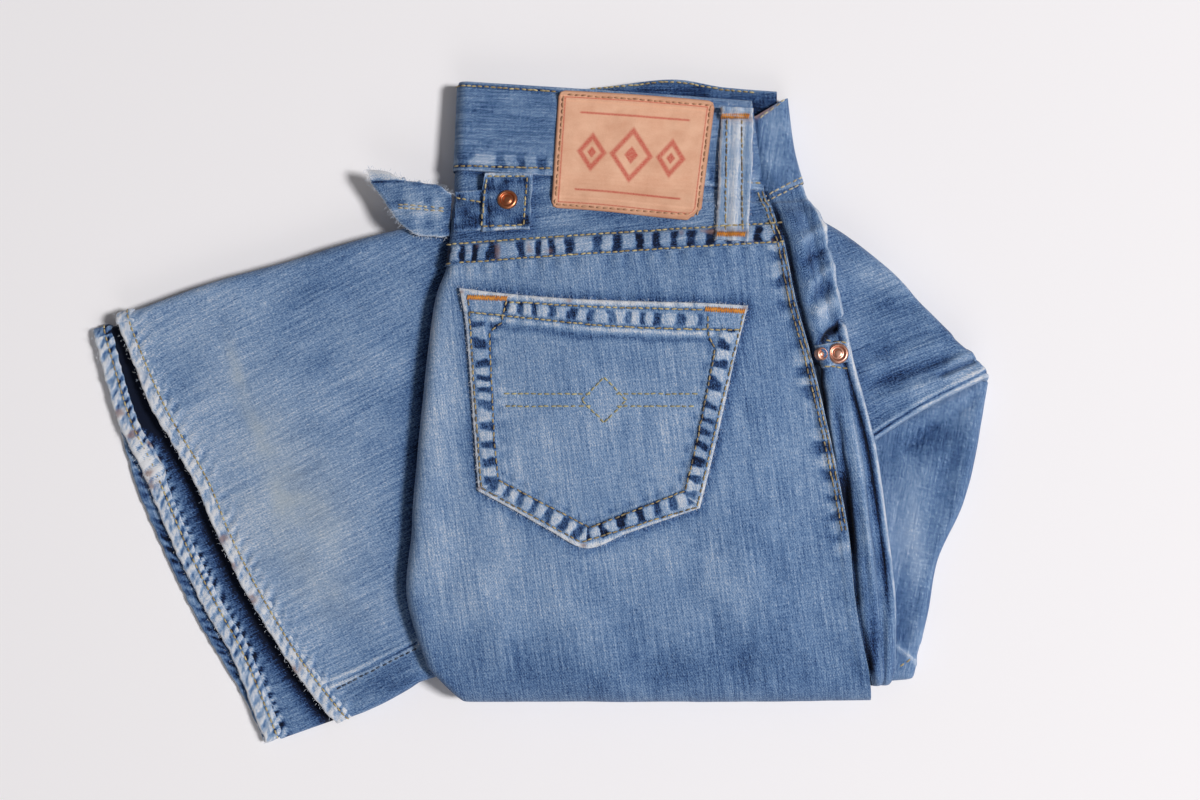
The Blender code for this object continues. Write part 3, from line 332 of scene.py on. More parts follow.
def surface(name, grid, uv, material, slot, replaces, flip=False, thickness=0.0, closed=False, **marks):
    # one mesh from a grid of points, rows going down it;
    # marks are values at its points that the material reads
    rows, cols = grid.shape[:2]
    mesh = bpy.data.meshes.new(name)
    mesh.vertices.add(rows * cols)
    mesh.vertices.foreach_set("co", (grid * mm).ravel())
    right, down = np.arange(cols - 1), np.arange(rows if closed else rows - 1)[:, None] * cols
    below = (down + cols) % (rows * cols)
    first, second = down + right, below + right
    quads = np.stack([first, second, second + 1, first + 1], axis=-1).reshape(-1, 4)
    if flip:
        quads = quads[:, ::-1]
    mesh.loops.add(quads.size)
    mesh.loops.foreach_set("vertex_index", quads.ravel())
    mesh.polygons.add(len(quads))
    mesh.polygons.foreach_set("loop_start", np.arange(len(quads)) * 4)
    mesh.polygons.foreach_set("use_smooth", np.ones(len(quads), bool))
    mesh.update(calc_edges=True)
    mesh.uv_layers.new(name="UVMap").data.foreach_set("uv", uv.reshape(-1, 2)[quads.ravel()].ravel())
    for mark, values in marks.items():
        layer = mesh.attributes.new(mark, "FLOAT", "POINT")
        layer.data.foreach_set("value", np.broadcast_to(values, (rows, cols)).astype(np.float32).ravel())
    obj = pieceObject(name, mesh, material)
    if thickness:
        wall = obj.modifiers.new("thickness", "SOLIDIFY")
        wall.thickness, wall.offset = thickness * mm, -1
    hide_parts(*replaces)
    return obj


def clothPiece(name, grid, grain, slot, replaces, fadeAndShade, rust=0.0, stain=0.0, flip=False):
    # a piece of denim from a grid, its warp at an angle to x, its cut stated
    marks = {"fadeAndShade": fadeAndShade, "stain": stain, "rust": rust}
    obj = surface(name, grid, clothUv(grid, grain), cloths[slot], slot, replaces, flip, **marks)


def rgb(red, green, blue):  # 0 to 255, as seen, to the linear values that a shader takes
    parts = [value / 255 for value in (red, green, blue)]
    return (*[p / 12.92 if p <= 0.04045 else ((p + 0.055) / 1.055) ** 2.4 for p in parts], 1.0)


def feed(tree, value, socket):  # sets a plain value, links a socket
    if isinstance(value, (int, float, tuple)):
        socket.default_value = value
    else:
        tree.links.new(value, socket)


def mathNode(tree, kind, first, second=0.5, clamp=False):  # its inputs are plain values or sockets
    node = tree.nodes.new("ShaderNodeMath")
    node.operation, node.use_clamp = kind, clamp
    feed(tree, first, node.inputs[0])
    feed(tree, second, node.inputs[1])
    return node.outputs[0]


def add(tree, first, second, clamp=False):
    return mathNode(tree, "ADD", first, second, clamp)


def times(tree, first, second, clamp=False):
    return mathNode(tree, "MULTIPLY", first, second, clamp)


def noiseNode(tree, vector, scale, detail=2.0, rough=0.5):  # noise of the vector times a scale for each axis
    stretch = tree.nodes.new("ShaderNodeVectorMath")
    stretch.operation = "MULTIPLY"
    stretch.inputs[1].default_value = scale
    feed(tree, vector, stretch.inputs[0])
    node = tree.nodes.new("ShaderNodeTexNoise")
    given = {"Scale": 1.0, "Detail": detail, "Roughness": rough, "Vector": stretch.outputs[0]}
    for name, value in given.items():
        feed(tree, value, node.inputs[name])
    return node.outputs["Fac"]


def mixColour(tree, amount, first, second):  # first (1 - amount) + second amount
    node = tree.nodes.new("ShaderNodeMix")
    node.data_type = "RGBA"
    factor = next(socket for socket in node.inputs if socket.name == "Factor" and socket.type == "VALUE")
    ends = [socket for socket in node.inputs if socket.type == "RGBA"]
    for socket, value in zip((factor, *ends), (amount, first, second)):
        feed(tree, value, socket)
    return next(socket for socket in node.outputs if socket.type == "RGBA")


def rampNode(tree, value, stops):  # the value's colour, blended between stops
    node = tree.nodes.new("ShaderNodeValToRGB")
    ramp = node.color_ramp
    for k, (place, colour) in enumerate(stops):
        stop = ramp.elements[k] if k < 2 else ramp.elements.new(place)
        stop.position, stop.color = place, colour
    feed(tree, value, node.inputs[0])
    return node.outputs[0]


def attribute(tree, name):
    node = tree.nodes.new("ShaderNodeAttribute")
    node.attribute_name = name
    return node.outputs["Fac"]


def clothPlace(tree):  # centimetres across and along the piece's own cloth
    node = tree.nodes.new("ShaderNodeUVMap")
    node.uv_map = "UVMap"
    return node.outputs[0]


def objectPlace(tree):
    return tree.nodes.new("ShaderNodeTexCoord").outputs["Object"]


def splitNode(tree, vector):
    node = tree.nodes.new("ShaderNodeSeparateXYZ")
    feed(tree, vector, node.inputs[0])
    return node.outputs


def newGroup(name, inputs, outputs):  # a node group's tree, and its named sockets in and out
    tree = bpy.data.node_groups.new(name, "ShaderNodeTree")
    for title, kind, value in inputs:
        tree.interface.new_socket(title, in_out="INPUT", socket_type=kind).default_value = value
    for title, kind in outputs:
        tree.interface.new_socket(title, in_out="OUTPUT", socket_type=kind)
    return tree, tree.nodes.new("NodeGroupInput").outputs, tree.nodes.new("NodeGroupOutput").inputs


def groupNode(tree, group, **values):
    node = tree.nodes.new("ShaderNodeGroup")
    node.node_tree = group
    for name, value in values.items():
        node.inputs[name].default_value = value
    return node.outputs


denimLook = {  # colours from unfaded to worn through, the darkest also serving painted shade, and the strength of each pattern
    "stops": (
        (0.0, rgb(11, 20, 40)), (0.1, rgb(28, 50, 96)), (0.22, rgb(50, 82, 129)),
        (0.5, rgb(104, 135, 174)), (0.75, rgb(154, 176, 204)), (1.0, rgb(220, 222, 226)),
    ),
    "slub": 0.6, "streak": 0.55, "fleck": 1.4, "weft": 0.3, "cloud": 0.35, "twill": 0.1,
    "lean": 32, "stain": rgb(184, 190, 188), "rust": rgb(146, 118, 112),
}


def denimGroup():
    # the ramp's colour at fade + contrast * sum(strength * (pattern - 0.5)), then stained and rusted
    tree, given, made = newGroup(
        "denimCloth", [("Fade", "NodeSocketFloat", 0.0), ("Contrast", "NodeSocketFloat", 1.0)],
        [("Color", "NodeSocketColor"), ("Height", "NodeSocketFloat")],
    )
    look, uv = denimLook, clothPlace(tree)
    lean = tree.nodes.new("ShaderNodeVectorRotate")
    lean.rotation_type = "Z_AXIS"
    lean.inputs["Angle"].default_value = math.radians(look["lean"])
    feed(tree, uv, lean.inputs["Vector"])
    across, along = splitNode(tree, uv)[:2]
    diagonal = add(tree, times(tree, across, 77.0), times(tree, along, -44.0))
    patterns = {
        "slub": noiseNode(tree, uv, (9, 0.3, 1), 2, 0.6),
        "streak": noiseNode(tree, uv, (20, 2.6, 1), 2, 0.6),
        "fleck": noiseNode(tree, lean.outputs[0], (23, 9, 1), 3, 0.75),
        "weft": noiseNode(tree, uv, (1.1, 14, 1)),
        "cloud": noiseNode(tree, uv, (0.45, 0.35, 1)),
        "twill": add(tree, mathNode(tree, "SINE", diagonal), 0.5),
    }
    total = 0.0
    for name, pattern in patterns.items():
        total = add(tree, total, times(tree, mathNode(tree, "SUBTRACT", pattern, 0.5), look[name]))
    # fade is the cloth's fading together with the painted shade that each piece sets
    fadeAndShade = add(tree, attribute(tree, "fadeAndShade"), given["Fade"])
    colour = rampNode(tree, add(tree, fadeAndShade, times(tree, total, given["Contrast"]), True), look["stops"])
    thinned = add(tree, times(tree, patterns["streak"], 0.8), 0.55)
    colour = mixColour(tree, times(tree, attribute(tree, "stain"), thinned, True), colour, look["stain"])
    specks = times(tree, patterns["fleck"], 1.8)
    colour = mixColour(tree, times(tree, attribute(tree, "rust"), specks, True), colour, look["rust"])
    feed(tree, colour, made["Color"])
    height = add(tree, patterns["fleck"], times(tree, patterns["streak"], 0.7))
    feed(tree, add(tree, height, times(tree, patterns["twill"], 0.12)), made["Height"])
    return tree


def threadGroup():  # twisted thread, with painted shade between its strands
    colours = [(name, "NodeSocketColor", rgb(200, 200, 200)) for name in ("Pale", "Dark")]
    tree, given, made = newGroup("sewingThread", colours, [("Color", "NodeSocketColor")])
    strands = noiseNode(tree, objectPlace(tree), (260, 260, 260))
    amount = times(tree, mathNode(tree, "SUBTRACT", strands, 0.35), 2.6, True)
    feed(tree, mixColour(tree, amount, given["Dark"], given["Pale"]), made["Color"])
    return tree


def newMaterial(name, roughness, metallic=0.0, sheen=0.0, specular=0.3):
    material = bpy.data.materials.new(name)
    material.use_nodes = True
    inputs = material.node_tree.nodes["Principled BSDF"].inputs
    given = {
        "Roughness": roughness, "Metallic": metallic, "Sheen Weight": sheen, "Specular IOR Level": specular,
    }
    for title, value in given.items():
        inputs[title].default_value = value
    return material, material.node_tree, inputs


def addBump(tree, inputs, height, strength, distance):
    bump = tree.nodes.new("ShaderNodeBump")
    bump.inputs["Strength"].default_value = strength
    bump.inputs["Distance"].default_value = distance * mm
    feed(tree, height, bump.inputs["Height"])
    feed(tree, bump.outputs[0], inputs["Normal"])


clothGroup, twistGroup = denimGroup(), threadGroup()


def denimMaterial(name, fadeAndShade=0.0, contrast=1.0):
    material, tree, inputs = newMaterial(name, 0.92, sheen=0.12, specular=0.15)
    weave = groupNode(tree, clothGroup, Fade=fadeAndShade, Contrast=contrast)
    feed(tree, weave["Color"], inputs["Base Color"])
    addBump(tree, inputs, weave["Height"], 0.6, 0.4)
    return material


def threadMaterial(name, pale, dark):
    material, tree, inputs = newMaterial(name, 0.6, sheen=0.1)
    feed(tree, groupNode(tree, twistGroup, Pale=pale, Dark=dark)["Color"], inputs["Base Color"])
    return material


def plainMaterial(name, colour, roughness, metallic=0.0):
    material, _, inputs = newMaterial(name, roughness, metallic)
    inputs["Base Color"].default_value = colour
    return material


def layersMaterial():
    # the sides of the hidden layers: painted shade as dark lines between the layers, the sine of the height
    material, tree, inputs = newMaterial("hiddenLayers", 0.95, specular=0.1)
    place = objectPlace(tree)
    level = times(tree, splitNode(tree, place)["Z"], 4200.0)
    level = add(tree, level, times(tree, noiseNode(tree, place, (40, 40, 90)), 6.0))
    line = times(tree, add(tree, mathNode(tree, "SINE", level), 1.0), 0.5)
    fleck = noiseNode(tree, place, (900, 900, 900), 3, 0.7)
    value = add(tree, times(tree, line, 0.4), times(tree, fleck, 0.45), True)
    colour = rampNode(tree, value, ((0.0, rgb(24, 34, 58)), (1.0, rgb(120, 143, 176))))
    feed(tree, colour, inputs["Base Color"])
    addBump(tree, inputs, line, 0.8, 0.8)
    return material


leatherLook = {
    "pale": rgb(238, 188, 156), "deep": rgb(212, 152, 120), "ink": rgb(196, 70, 56), "edge": rgb(150, 96, 66),
}


def leatherMaterial():
    # clouded and grained between two tans, with printed marks and darker, worn edges
    material, tree, inputs = newMaterial("leather", 0.62, specular=0.35)
    look, uv = leatherLook, clothPlace(tree)
    cloud, grain = noiseNode(tree, uv, (0.7, 0.9, 1), 3, 0.6), noiseNode(tree, uv, (14, 14, 1), 4, 0.7)
    clouded = times(tree, mathNode(tree, "SUBTRACT", cloud, 0.3), 1.6)
    grained = times(tree, mathNode(tree, "SUBTRACT", grain, 0.5), 0.9)
    colour = mixColour(tree, add(tree, clouded, grained, True), look["pale"], look["deep"])
    ink = times(tree, attribute(tree, "ink"), times(tree, grain, 1.5), True)
    colour = mixColour(tree, ink, colour, look["ink"])
    colour = mixColour(tree, times(tree, attribute(tree, "worn"), 0.6), colour, look["edge"])
    feed(tree, colour, inputs["Base Color"])
    addBump(tree, inputs, grain, 0.35, 0.4)
    return material


cloths = {  # by the slot that each fills
    "denim": denimMaterial("denim"), "denim_dark": denimMaterial("denimBand", -0.05),
    "denim_pale": denimMaterial("denimWorn", 0.1, 0.8),
}
hidden = layersMaterial()
leather = leatherMaterial()
copper = plainMaterial("copper", rgb(226, 172, 150), 0.36, 1.0)
darkCopper = plainMaterial("darkCopper", rgb(204, 132, 96), 0.38, 1.0)
threads = {name: threadMaterial(name + "Thread", rgb(*pale), rgb(*dark)) for name, pale, dark in (
    ("gold", (216, 200, 150), (140, 120, 82)), ("seam", (206, 184, 134), (100, 88, 72)),
    ("blue", (92, 106, 128), (30, 38, 58)), ("orange", (232, 160, 66), (196, 120, 52)),
    ("pale", (216, 204, 172), (150, 140, 122)), ("tan", (212, 168, 132), (170, 122, 92)),
    ("motif", (206, 196, 148), (146, 140, 112)), ("white", (226, 227, 230), (170, 182, 200)),
)}
print("materials made")


seat = dict(zip(seatColumns, np.array(seatSections).T))


def seatAt(section, *names):  # columns of the seat's table, between its sections
    return [smooth(seat[name], section) for name in names]


def between(first, last, share, z):  # places at a share of the way from one line to another
    return np.dstack([first[0] + (last[0] - first[0]) * share, first[1] + (last[1] - first[1]) * share, z])


def seatLevel(section, across):  # the back's height, up to a crown and down to the outseam
    left, middle, seam = seatAt(section, "leftZ", "midZ", "seamZ")
    crown = left + (middle - left) * ease(across / 0.42)
    return crown + (seam - crown) * ease((across - 0.7) / 0.3)


def backFace(sections, shares):  # the back's face from its left fold to the outseam, before its edges turn
    section, share = cells(sections, shares)
    leftX, leftY, seamX, seamY = seatAt(section, "leftX", "leftY", "seamX", "seamY")
    start = leftRoll / (seamX - leftX)
    across = start + (1 - start) * share
    return between((leftX, leftY), (seamX, seamY), across, seatLevel(section, across))


def frontFace(sections, shares):  # the front's face from the outseam to its lip, risen by its relief
    section, share = cells(sections, shares)
    seamX, seamY, lipX, lipY, seam, lip = seatAt(section, "seamX", "seamY", "lipX", "lipY", "seamZ", "lipZ")
    places, rises = np.array(frontRelief).T
    rise = smooth(rises, np.interp(share, places, range(len(places)))) * ease((section - bandSeam) / 3)
    across = share * (1 - lipRoll / (lipX - seamX))
    return between((seamX, seamY), (lipX, lipY), across, seam + (lip - seam) * share + rise)


def sideRoll(side, edge, sections, steps):  # how a side turns: its outline and lowest heights are the seat's
    base = np.maximum(straight(seat[edge + "Base"], sections) - 1.0, floorBase)
    return side, np.column_stack(seatAt(sections, edge + "X", edge + "Y")), base, steps


def foldLine(ends, face):  # points on a straight fold, spaced as the face's last row
    first, last = np.array(ends, float)
    share = (face[-1, :, 0] - face[-1, 0, 0]) / (face[-1, -1, 0] - face[-1, 0, 0])
    return first + (last - first) * share[:, None]


def seatLine(edge, sections):  # an edge of the seat as a list of points
    return np.column_stack(seatAt(np.array(sections, float), edge + "X", edge + "Y")).tolist()


outseam = seatLine("seam", np.linspace(bandSeam, seatEnd, 23))
shownSeam = [point for point in outseam if point[1] > -72]  # its stitches go under the front below this
yokeLine = seatLine("left", [yokeSeam]) + seatLine("seam", [yokeSeam])
bandLine = ((-43.2, 122.1), (111.7, 111.6))
bandTop = ((-41.5, 166.4), (106.0, 156.4))
pocketSides = ((pocketTop, 0, 1, 12), (pocketRight, 0, 1, 8), (pocketLow, 1, 0, 13), (pocketLeft, 1, 0, 8))
pocketParts = [path(side, np.linspace(first, last, count)) for side, first, last, count in pocketSides]
pocketOutline = np.concatenate([pocketParts[0], *(part[1:] for part in pocketParts[1:])])


def outseamMarks(x, y):
    # the felled outseam: a raised strip with puckers beside it, both fading out down the leg
    off, along = nearLine(x, y, outseam)
    off = -off  # grows to the left of the seam
    live = ease((205 - along) / 40)
    blocks = ladder(off, along, 0.6, 8.5, 12.0, 31, soft=3.0) * live
    strip = ease((5.2 - off) / 1.2) * ease((off + 3) / 1.0) * (0.35 + 0.65 * live)
    return blocks * ease(0.6 + 0.9 * lattice(along, off, 19, 34)), strip, off


backLook = {
    "grain": 98, "rows": 236, "columns": 250, "fadeAndShade": 0.51,
    "folds": (  # points, width, height
        (((-52, 40), (-50, 0), (-54, -50), (-50, -95)), 7, 0.9),
        (((-40, -70), (-20, -105), (-16, -135)), 9, 0.7), (((118, 70), (124, 40), (126, 5)), 6, -0.5),
        (((60, -75), (85, -100), (110, -135)), 10, -0.8), (((95, -60), (115, -95), (140, -125)), 8, 0.6),
        (((0, -85), (30, -110), (45, -140)), 12, 0.5), (((105, 30), (112, 0), (110, -40)), 9, 0.5),
        (((-48, 70), (-10, 74), (40, 72)), 5, 0.4), (((20, -120), (80, -128), (120, -118)), 7, -0.5),
    ),
    "patches": (  # fade, x, y, two radii, turn
        (0.10, -30, -70, 45, 35), (0.08, -50, 20, 14, 60), (0.06, 70, -75, 40, 20, -20),
        (-0.09, 130, -110, 50, 40), (-0.09, 115, 30, 16, 50), (-0.05, 20, -125, 60, 22),
    ),
}


def makeBack():
    # the back and its two folds, raised by folds, the felled outseam and puckers beside yoke and pocket
    look = backLook
    sections = np.linspace(yokeSeam, seatEnd, look["rows"])
    face = backFace(sections, np.linspace(0, 1, look["columns"]))
    fold = ("end", foldLine(backFold, face), floorBase, 22)
    grid = rolled(face, [sideRoll("left", "left", sections, 15), fold])
    x, y = grid[..., 0], grid[..., 1]
    blocks, strip, off = outseamMarks(x, y)
    pocketOff, pocketAlong = nearLine(x, y, pocketOutline)
    besidePocket = bell(pocketOff, 0, 4.0)
    yokeOff, yokeAlong = nearLine(x, y, yokeLine)
    puckers = bell(yokeOff, 0, 7.0) * ripple(yokeAlong, 10, 0.5, 20, 8)
    relief = 0.7 * handleNoise(x, y, 1) + creases(x, y, look["folds"], 0) + 0.35 * blocks + 1.1 * strip
    relief += 0.25 * besidePocket * ripple(pocketAlong, 7.5, 0.4, 20, 5) + 0.28 * puckers
    relief *= ease((grid[..., 2] - 8) / 12)
    grid = raised(grid, relief)
    shade = stitchShade(x, y, [offsetLine(shownSeam, -1.2), offsetLine(shownSeam, -3.3)])
    # paler on raised folds and darker in troughs: wear on the crests, painted shade in the troughs
    fadeAndShade = look["fadeAndShade"] + 0.05 * lattice(x, y, 60, 21) + 0.05 * relief + patches(x, y, look["patches"])
    fadeAndShade += tone(blocks, 0.3, 0.34) + 0.24 * strip * ease((1.4 - off) / 1.5) - 0.4 * shade * strip
    # darker beside the pocket: painted shade along its raised edge
    fadeAndShade += 0.08 * puckers - 0.24 * besidePocket - 0.1 * ease((-100 - y) / 34)
    clothPiece("seatBack", grid, look["grain"], "denim", ["back_right"], fadeAndShade)
    return grid


yokeLook = {
    "grain": 8, "rows": 70, "columns": 240, "fadeAndShade": 0.48,
    "tab": ((-15.7, 12), (105, 14)),  # middle and half size of what shades it, across and along
}


def makeYoke():
    # the yoke, its lower edge raised over the seam's allowance with blocks across it
    look = yokeLook
    sections = np.linspace(bandSeam, yokeSeam, look["rows"])
    face = backFace(sections, np.linspace(0, 1, look["columns"]))
    grid = rolled(face, [sideRoll("left", "left", sections, 18)])
    grid[-1, :, 1] -= 0.4
    x, y = grid[..., 0], grid[..., 1]
    off, along = nearLine(x, y, yokeLine)
    blocks = np.clip(1.2 * ladder(off, along, 1.6, 9.4, 9.4, 3, slant=-0.1, soft=1.0), -1, 1)
    strip = outseamMarks(x, y)[1]
    bandOff = nearLine(x, y, bandLine)[0]
    relief = 0.5 * handleNoise(x, y, 12) + 0.35 * blocks + 1.0 * ease((10.5 - off) / 1.5) + 0.6 * strip
    relief -= 0.5 * bell(bandOff, 0, 2.2)
    grid = raised(grid, relief)
    beside = [np.maximum(np.abs(at - middle) - half, 0) for at, (middle, half) in zip((x, y), look["tab"])]
    shade = 0.3 * stitchShade(x, y, [offsetLine(yokeLine, 1.0), offsetLine(yokeLine, 10.6)])
    shade += 0.14 * np.exp(-(beside[0] ** 2 + beside[1] ** 2) / 14)
    fadeAndShade = look["fadeAndShade"] + tone(blocks) + 0.07 * lattice(x, y, 26, 14) + 0.05 * strip - shade
    streaks = 0.1 * lattice(x, y * 3, 13, 16) - 0.06 - 0.06 * blob(x, y, -36, 95, 14, 20)
    fadeAndShade += ease((off - 10) / 3) * streaks
    fadeAndShade += 0.12 * bell(off, 10.2, 1.0) + 0.1 * bell(off, 0, 1.0) - 0.1 * bell(bandOff, 0, 3)
    onSeam = ease((9 - np.abs(off - 5)) / 4) * ease((5 - np.abs(off - 5)) / 2)
    rust = np.clip(lattice(x, y, 5, 77) - 0.55, 0, 1) * 2.2 * onSeam
    clothPiece("yokePanel", grid, look["grain"], "denim", ["yoke_right"], fadeAndShade, rust)
    return grid


bandLook = {
    "grain": -3, "rows": 74, "columns": 220, "fadeAndShade": 0.49,
    "topEdge": ((6.0, -0.2), (3.0, 0.6), (1.0, 0.5), (0.25, 0.25)),  # how the edges turn: drop, out
    "lowEdge": ((0.2, 0.25), (0.9, 0.45), (2.0, 0.3)),
}


def edged(grid, look):
    # the top and lower edges turn down, so that the band has its thickness
    above = [grid[:1] + np.array([0.0, out, -drop]) for drop, out in look["topEdge"]]
    below = [grid[-1:] + np.array([0.0, -out, -drop]) for drop, out in look["lowEdge"]]
    return np.concatenate([*above, grid, *below])


def makeBand():
    # the waistband's outer face, puckered along its seam and turned down at both edges
    look = bandLook
    sections = np.linspace(0, bandSeam, look["rows"])
    face = backFace(sections, np.linspace(0, 1, look["columns"]))
    grid = rolled(face, [sideRoll("left", "left", sections, 18)])
    x, y = grid[..., 0], grid[..., 1]
    off, along = nearLine(x, y, bandLine)
    blocks = ladder(off, along, 1.0, 9.0, 11.0, 41, soft=3.0)
    top = nearLine(x, y, bandTop)[0]
    relief = 0.4 * handleNoise(x, y, 15) + 0.22 * blocks + 0.6 + 0.25 * bell(off, 1.2, 1.4)
    relief -= 0.8 * bell(top, 0, 1.2)
    full = edged(raised(grid, relief), look)
    full[..., 2] = np.maximum(full[..., 2], bandBase)
    added = ((len(look["topEdge"]), len(look["lowEdge"])), (0, 0))
    blocks, off, top = (np.pad(values, added, mode="edge") for values in (blocks, off, top))
    x, y = full[..., 0], full[..., 1]
    fadeAndShade = look["fadeAndShade"] + 0.22 * blocks + 0.07 * lattice(x, y, 30, 43) + 0.09 * lattice(x, y * 3, 14, 44)
    fadeAndShade += 0.16 * bell(off, 0.2, 0.9) + 0.12 * bell(top, 0, 1.0) - 0.08 * blob(x, y, -30, 150, 20, 16)
    fadeAndShade -= 0.3 * stitchShade(x, y, stitchLines["gold"][:2])
    clothPiece("waistbandBack", full, look["grain"], "denim_dark", ["waistband_back"], fadeAndShade)
    return full


frontLook = {
    "grain": 98, "rows": 350, "columns": 56, "fadeAndShade": 0.4,
    "folds": (
        (((146, 95), (136, 90), (126, 83)), 2.6, 1.1), (((147, 86), (137, 79), (128, 72)), 2.4, -1.0),
        (((147, 75), (139, 69), (130, 61)), 2.6, 1.2), (((148, 66), (140, 60), (131, 53)), 2.2, -0.9),
        (((148, 57), (141, 54), (134, 48)), 2.6, 1.4), (((154, 50), (146, 43), (137, 33)), 1.9, -2.6),
        (((137, 28), (136, 15), (139, 0)), 2.2, -2.4),
        (((141, 16), (146, -20), (150, -65), (153, -111)), 2.4, 1.7),
        (((145, 8), (150, -30), (155, -75)), 2.0, -1.7),
        (((151, 14), (158, -30), (163, -75), (166, -110)), 2.4, 1.4),
        (((137, -8), (144, -50), (149, -90)), 2.0, -2.1),
        (((160, -60), (164, -95), (166, -128)), 2.4, -1.5), (((156, -90), (159, -125)), 2.5, 1.0),
    ),
    # the thin dark patch is painted shade in the deep trough above the rivet bar
    "patches": ((0.14, 141, 50, 4, 5), (-0.3, 143.5, 41.0, 6.5, 1.6, 42), (0.12, 139.5, 45.5, 6, 1.8, 40)),
}


def makeFront():
    # the front's strip beside the outseam, its folded lip a pale crest with a groove beside it
    look = frontLook
    sections = np.linspace(bandSeam, seatEnd, look["rows"])
    face = frontFace(sections, np.linspace(0, 1, look["columns"]))
    fold = ("end", foldLine(frontFold, face), floorBase + 0.6, 20)
    grid = rolled(face, [sideRoll("right", "lip", sections, 18), fold])
    x, y = grid[..., 0], grid[..., 1]
    fromLip, along = nearLine(x, y, seatLine("lip", np.linspace(bandSeam, seatEnd, 23)))
    fromLip = -fromLip
    seamOff = nearLine(x, y, outseam)[0]
    groove = bell(fromLip, 5.0, 1.3) * ease((along - 60) / 40) * ease((235 - along) / 60)
    crest = bell(fromLip, 1.8, 1.6) * ease((245 - along) / 60)
    relief = 0.5 * handleNoise(x, y, 51) + 1.25 * creases(x, y, look["folds"], 60)
    relief += -1.8 * groove + 0.8 * crest - 1.8 * bell(seamOff, 0, 1.8)
    relief *= ease((grid[..., 2] - 6) / 10)
    grid = raised(grid, relief)
    # paler on raised folds and darker in troughs: wear on the crests, painted shade in the troughs
    fadeAndShade = look["fadeAndShade"] + 0.15 * np.clip(relief, -2.4, 2)
    fadeAndShade += 0.08 * lattice(x, y, 17, 53) + 0.06 * lattice(x, y, 7, 54)
    worn = bell(fromLip, 1.4, 0.8) * ease((245 - along) / 50) * (0.8 + 0.4 * lattice(x, y, 4, 55))
    # the groove beside the lip and the drop at the outseam are darkened: painted shade
    fadeAndShade += 0.55 * worn - 0.36 * groove - 0.12 * bell(seamOff, 0, 2.5) + patches(x, y, look["patches"])
    clothPiece("frontPanel", grid, look["grain"], "denim", ["front_right"], fadeAndShade)
    return grid


frontBandLook = {
    "grain": 80, "rows": 90, "columns": 40, "fadeAndShade": 0.5,
    "topSeam": ((107.8, 148.8), (124.5, 159.0)), "lowSeam": ((117.9, 110.8), (132.3, 116.0)),
    "topEdge": ((3.0, -0.3), (1.0, 0.3), (0.3, 0.2)), "lowEdge": ((0.3, 0.2), (1.5, 0.2)),
    "inner": ((-8.0, 0.6, -1.6), (-2.5, 0.2, -0.9)),  # how its inner side goes on under the back's band
}


def makeFrontBand():
    # the front's piece of the waistband, its lining shown at the top, its inner side under the back's band
    look = frontBandLook
    row, share = cells(np.linspace(0, 2, look["rows"]), np.linspace(0, 1, look["columns"]))
    inX, inY, outX, outY, inZ, outZ = (smooth(values, row) for values in np.array(frontBandSections).T)
    across = share * (1 - lipRoll / (outX - inX))
    face = between((inX, inY), (outX, outY), across, inZ + (outZ - inZ) * share)
    grid = rolled(face, [("right", np.column_stack([outX[:, 0], outY[:, 0]]), floorBase, 16)])
    x, y = grid[..., 0], grid[..., 1]
    off, along = nearLine(x, y, look["lowSeam"])
    relief = 0.5 * handleNoise(x, y, 71) + 0.4 + 0.3 * np.sin(2 * np.pi * along / 6) * bell(off, 5, 4)
    grid = edged(raised(grid, relief), look)
    full = np.concatenate([*(grid[:, :1] + np.array(step) for step in look["inner"]), grid], axis=1)
    full[..., 2] = np.maximum(full[..., 2], bandBase)
    x, y = full[..., 0], full[..., 1]
    off = nearLine(x, y, look["lowSeam"])[0]
    fadeAndShade = look["fadeAndShade"] - 0.3 * ease((113.5 - x - 0.05 * (y - 112)) / 5) + 0.14 * lattice(x, y, 9, 73)
    fadeAndShade += 0.16 * bell(off, 0.4, 1.0) + 0.1 * ease((x - 128) / 4)
    lining = 0.9 * bell(nearLine(x, y, look["topSeam"])[0], 0, 1.6) * ease((120 - x) / 6)
    replaces = ["waistband_front"]
    clothPiece("waistbandFront", full, look["grain"], "denim_dark", replaces, fadeAndShade, lining)
    return full


lowerBandLook = {
    "thickness": 2.8, "depth": 30.0, "fadeAndShade": 0.36,
    "x": (-33.0, 0.0, 30.0, 66.0, 92.0, 119.0),
    # the three bands below the top one: top edge over each x, height
    "edges": {
        "front_right": ((160.5, 161.5, 164.5, 168.5, 164.6, 162.4), 12.2),
        "front_left": ((161.5, 161.0, 160.0, 159.0, 158.0, 156.5), 7.5),
        "back_left": ((163.5, 162.5, 161.5, 160.5, 158.0, 156.0), 2.8),
    },
}


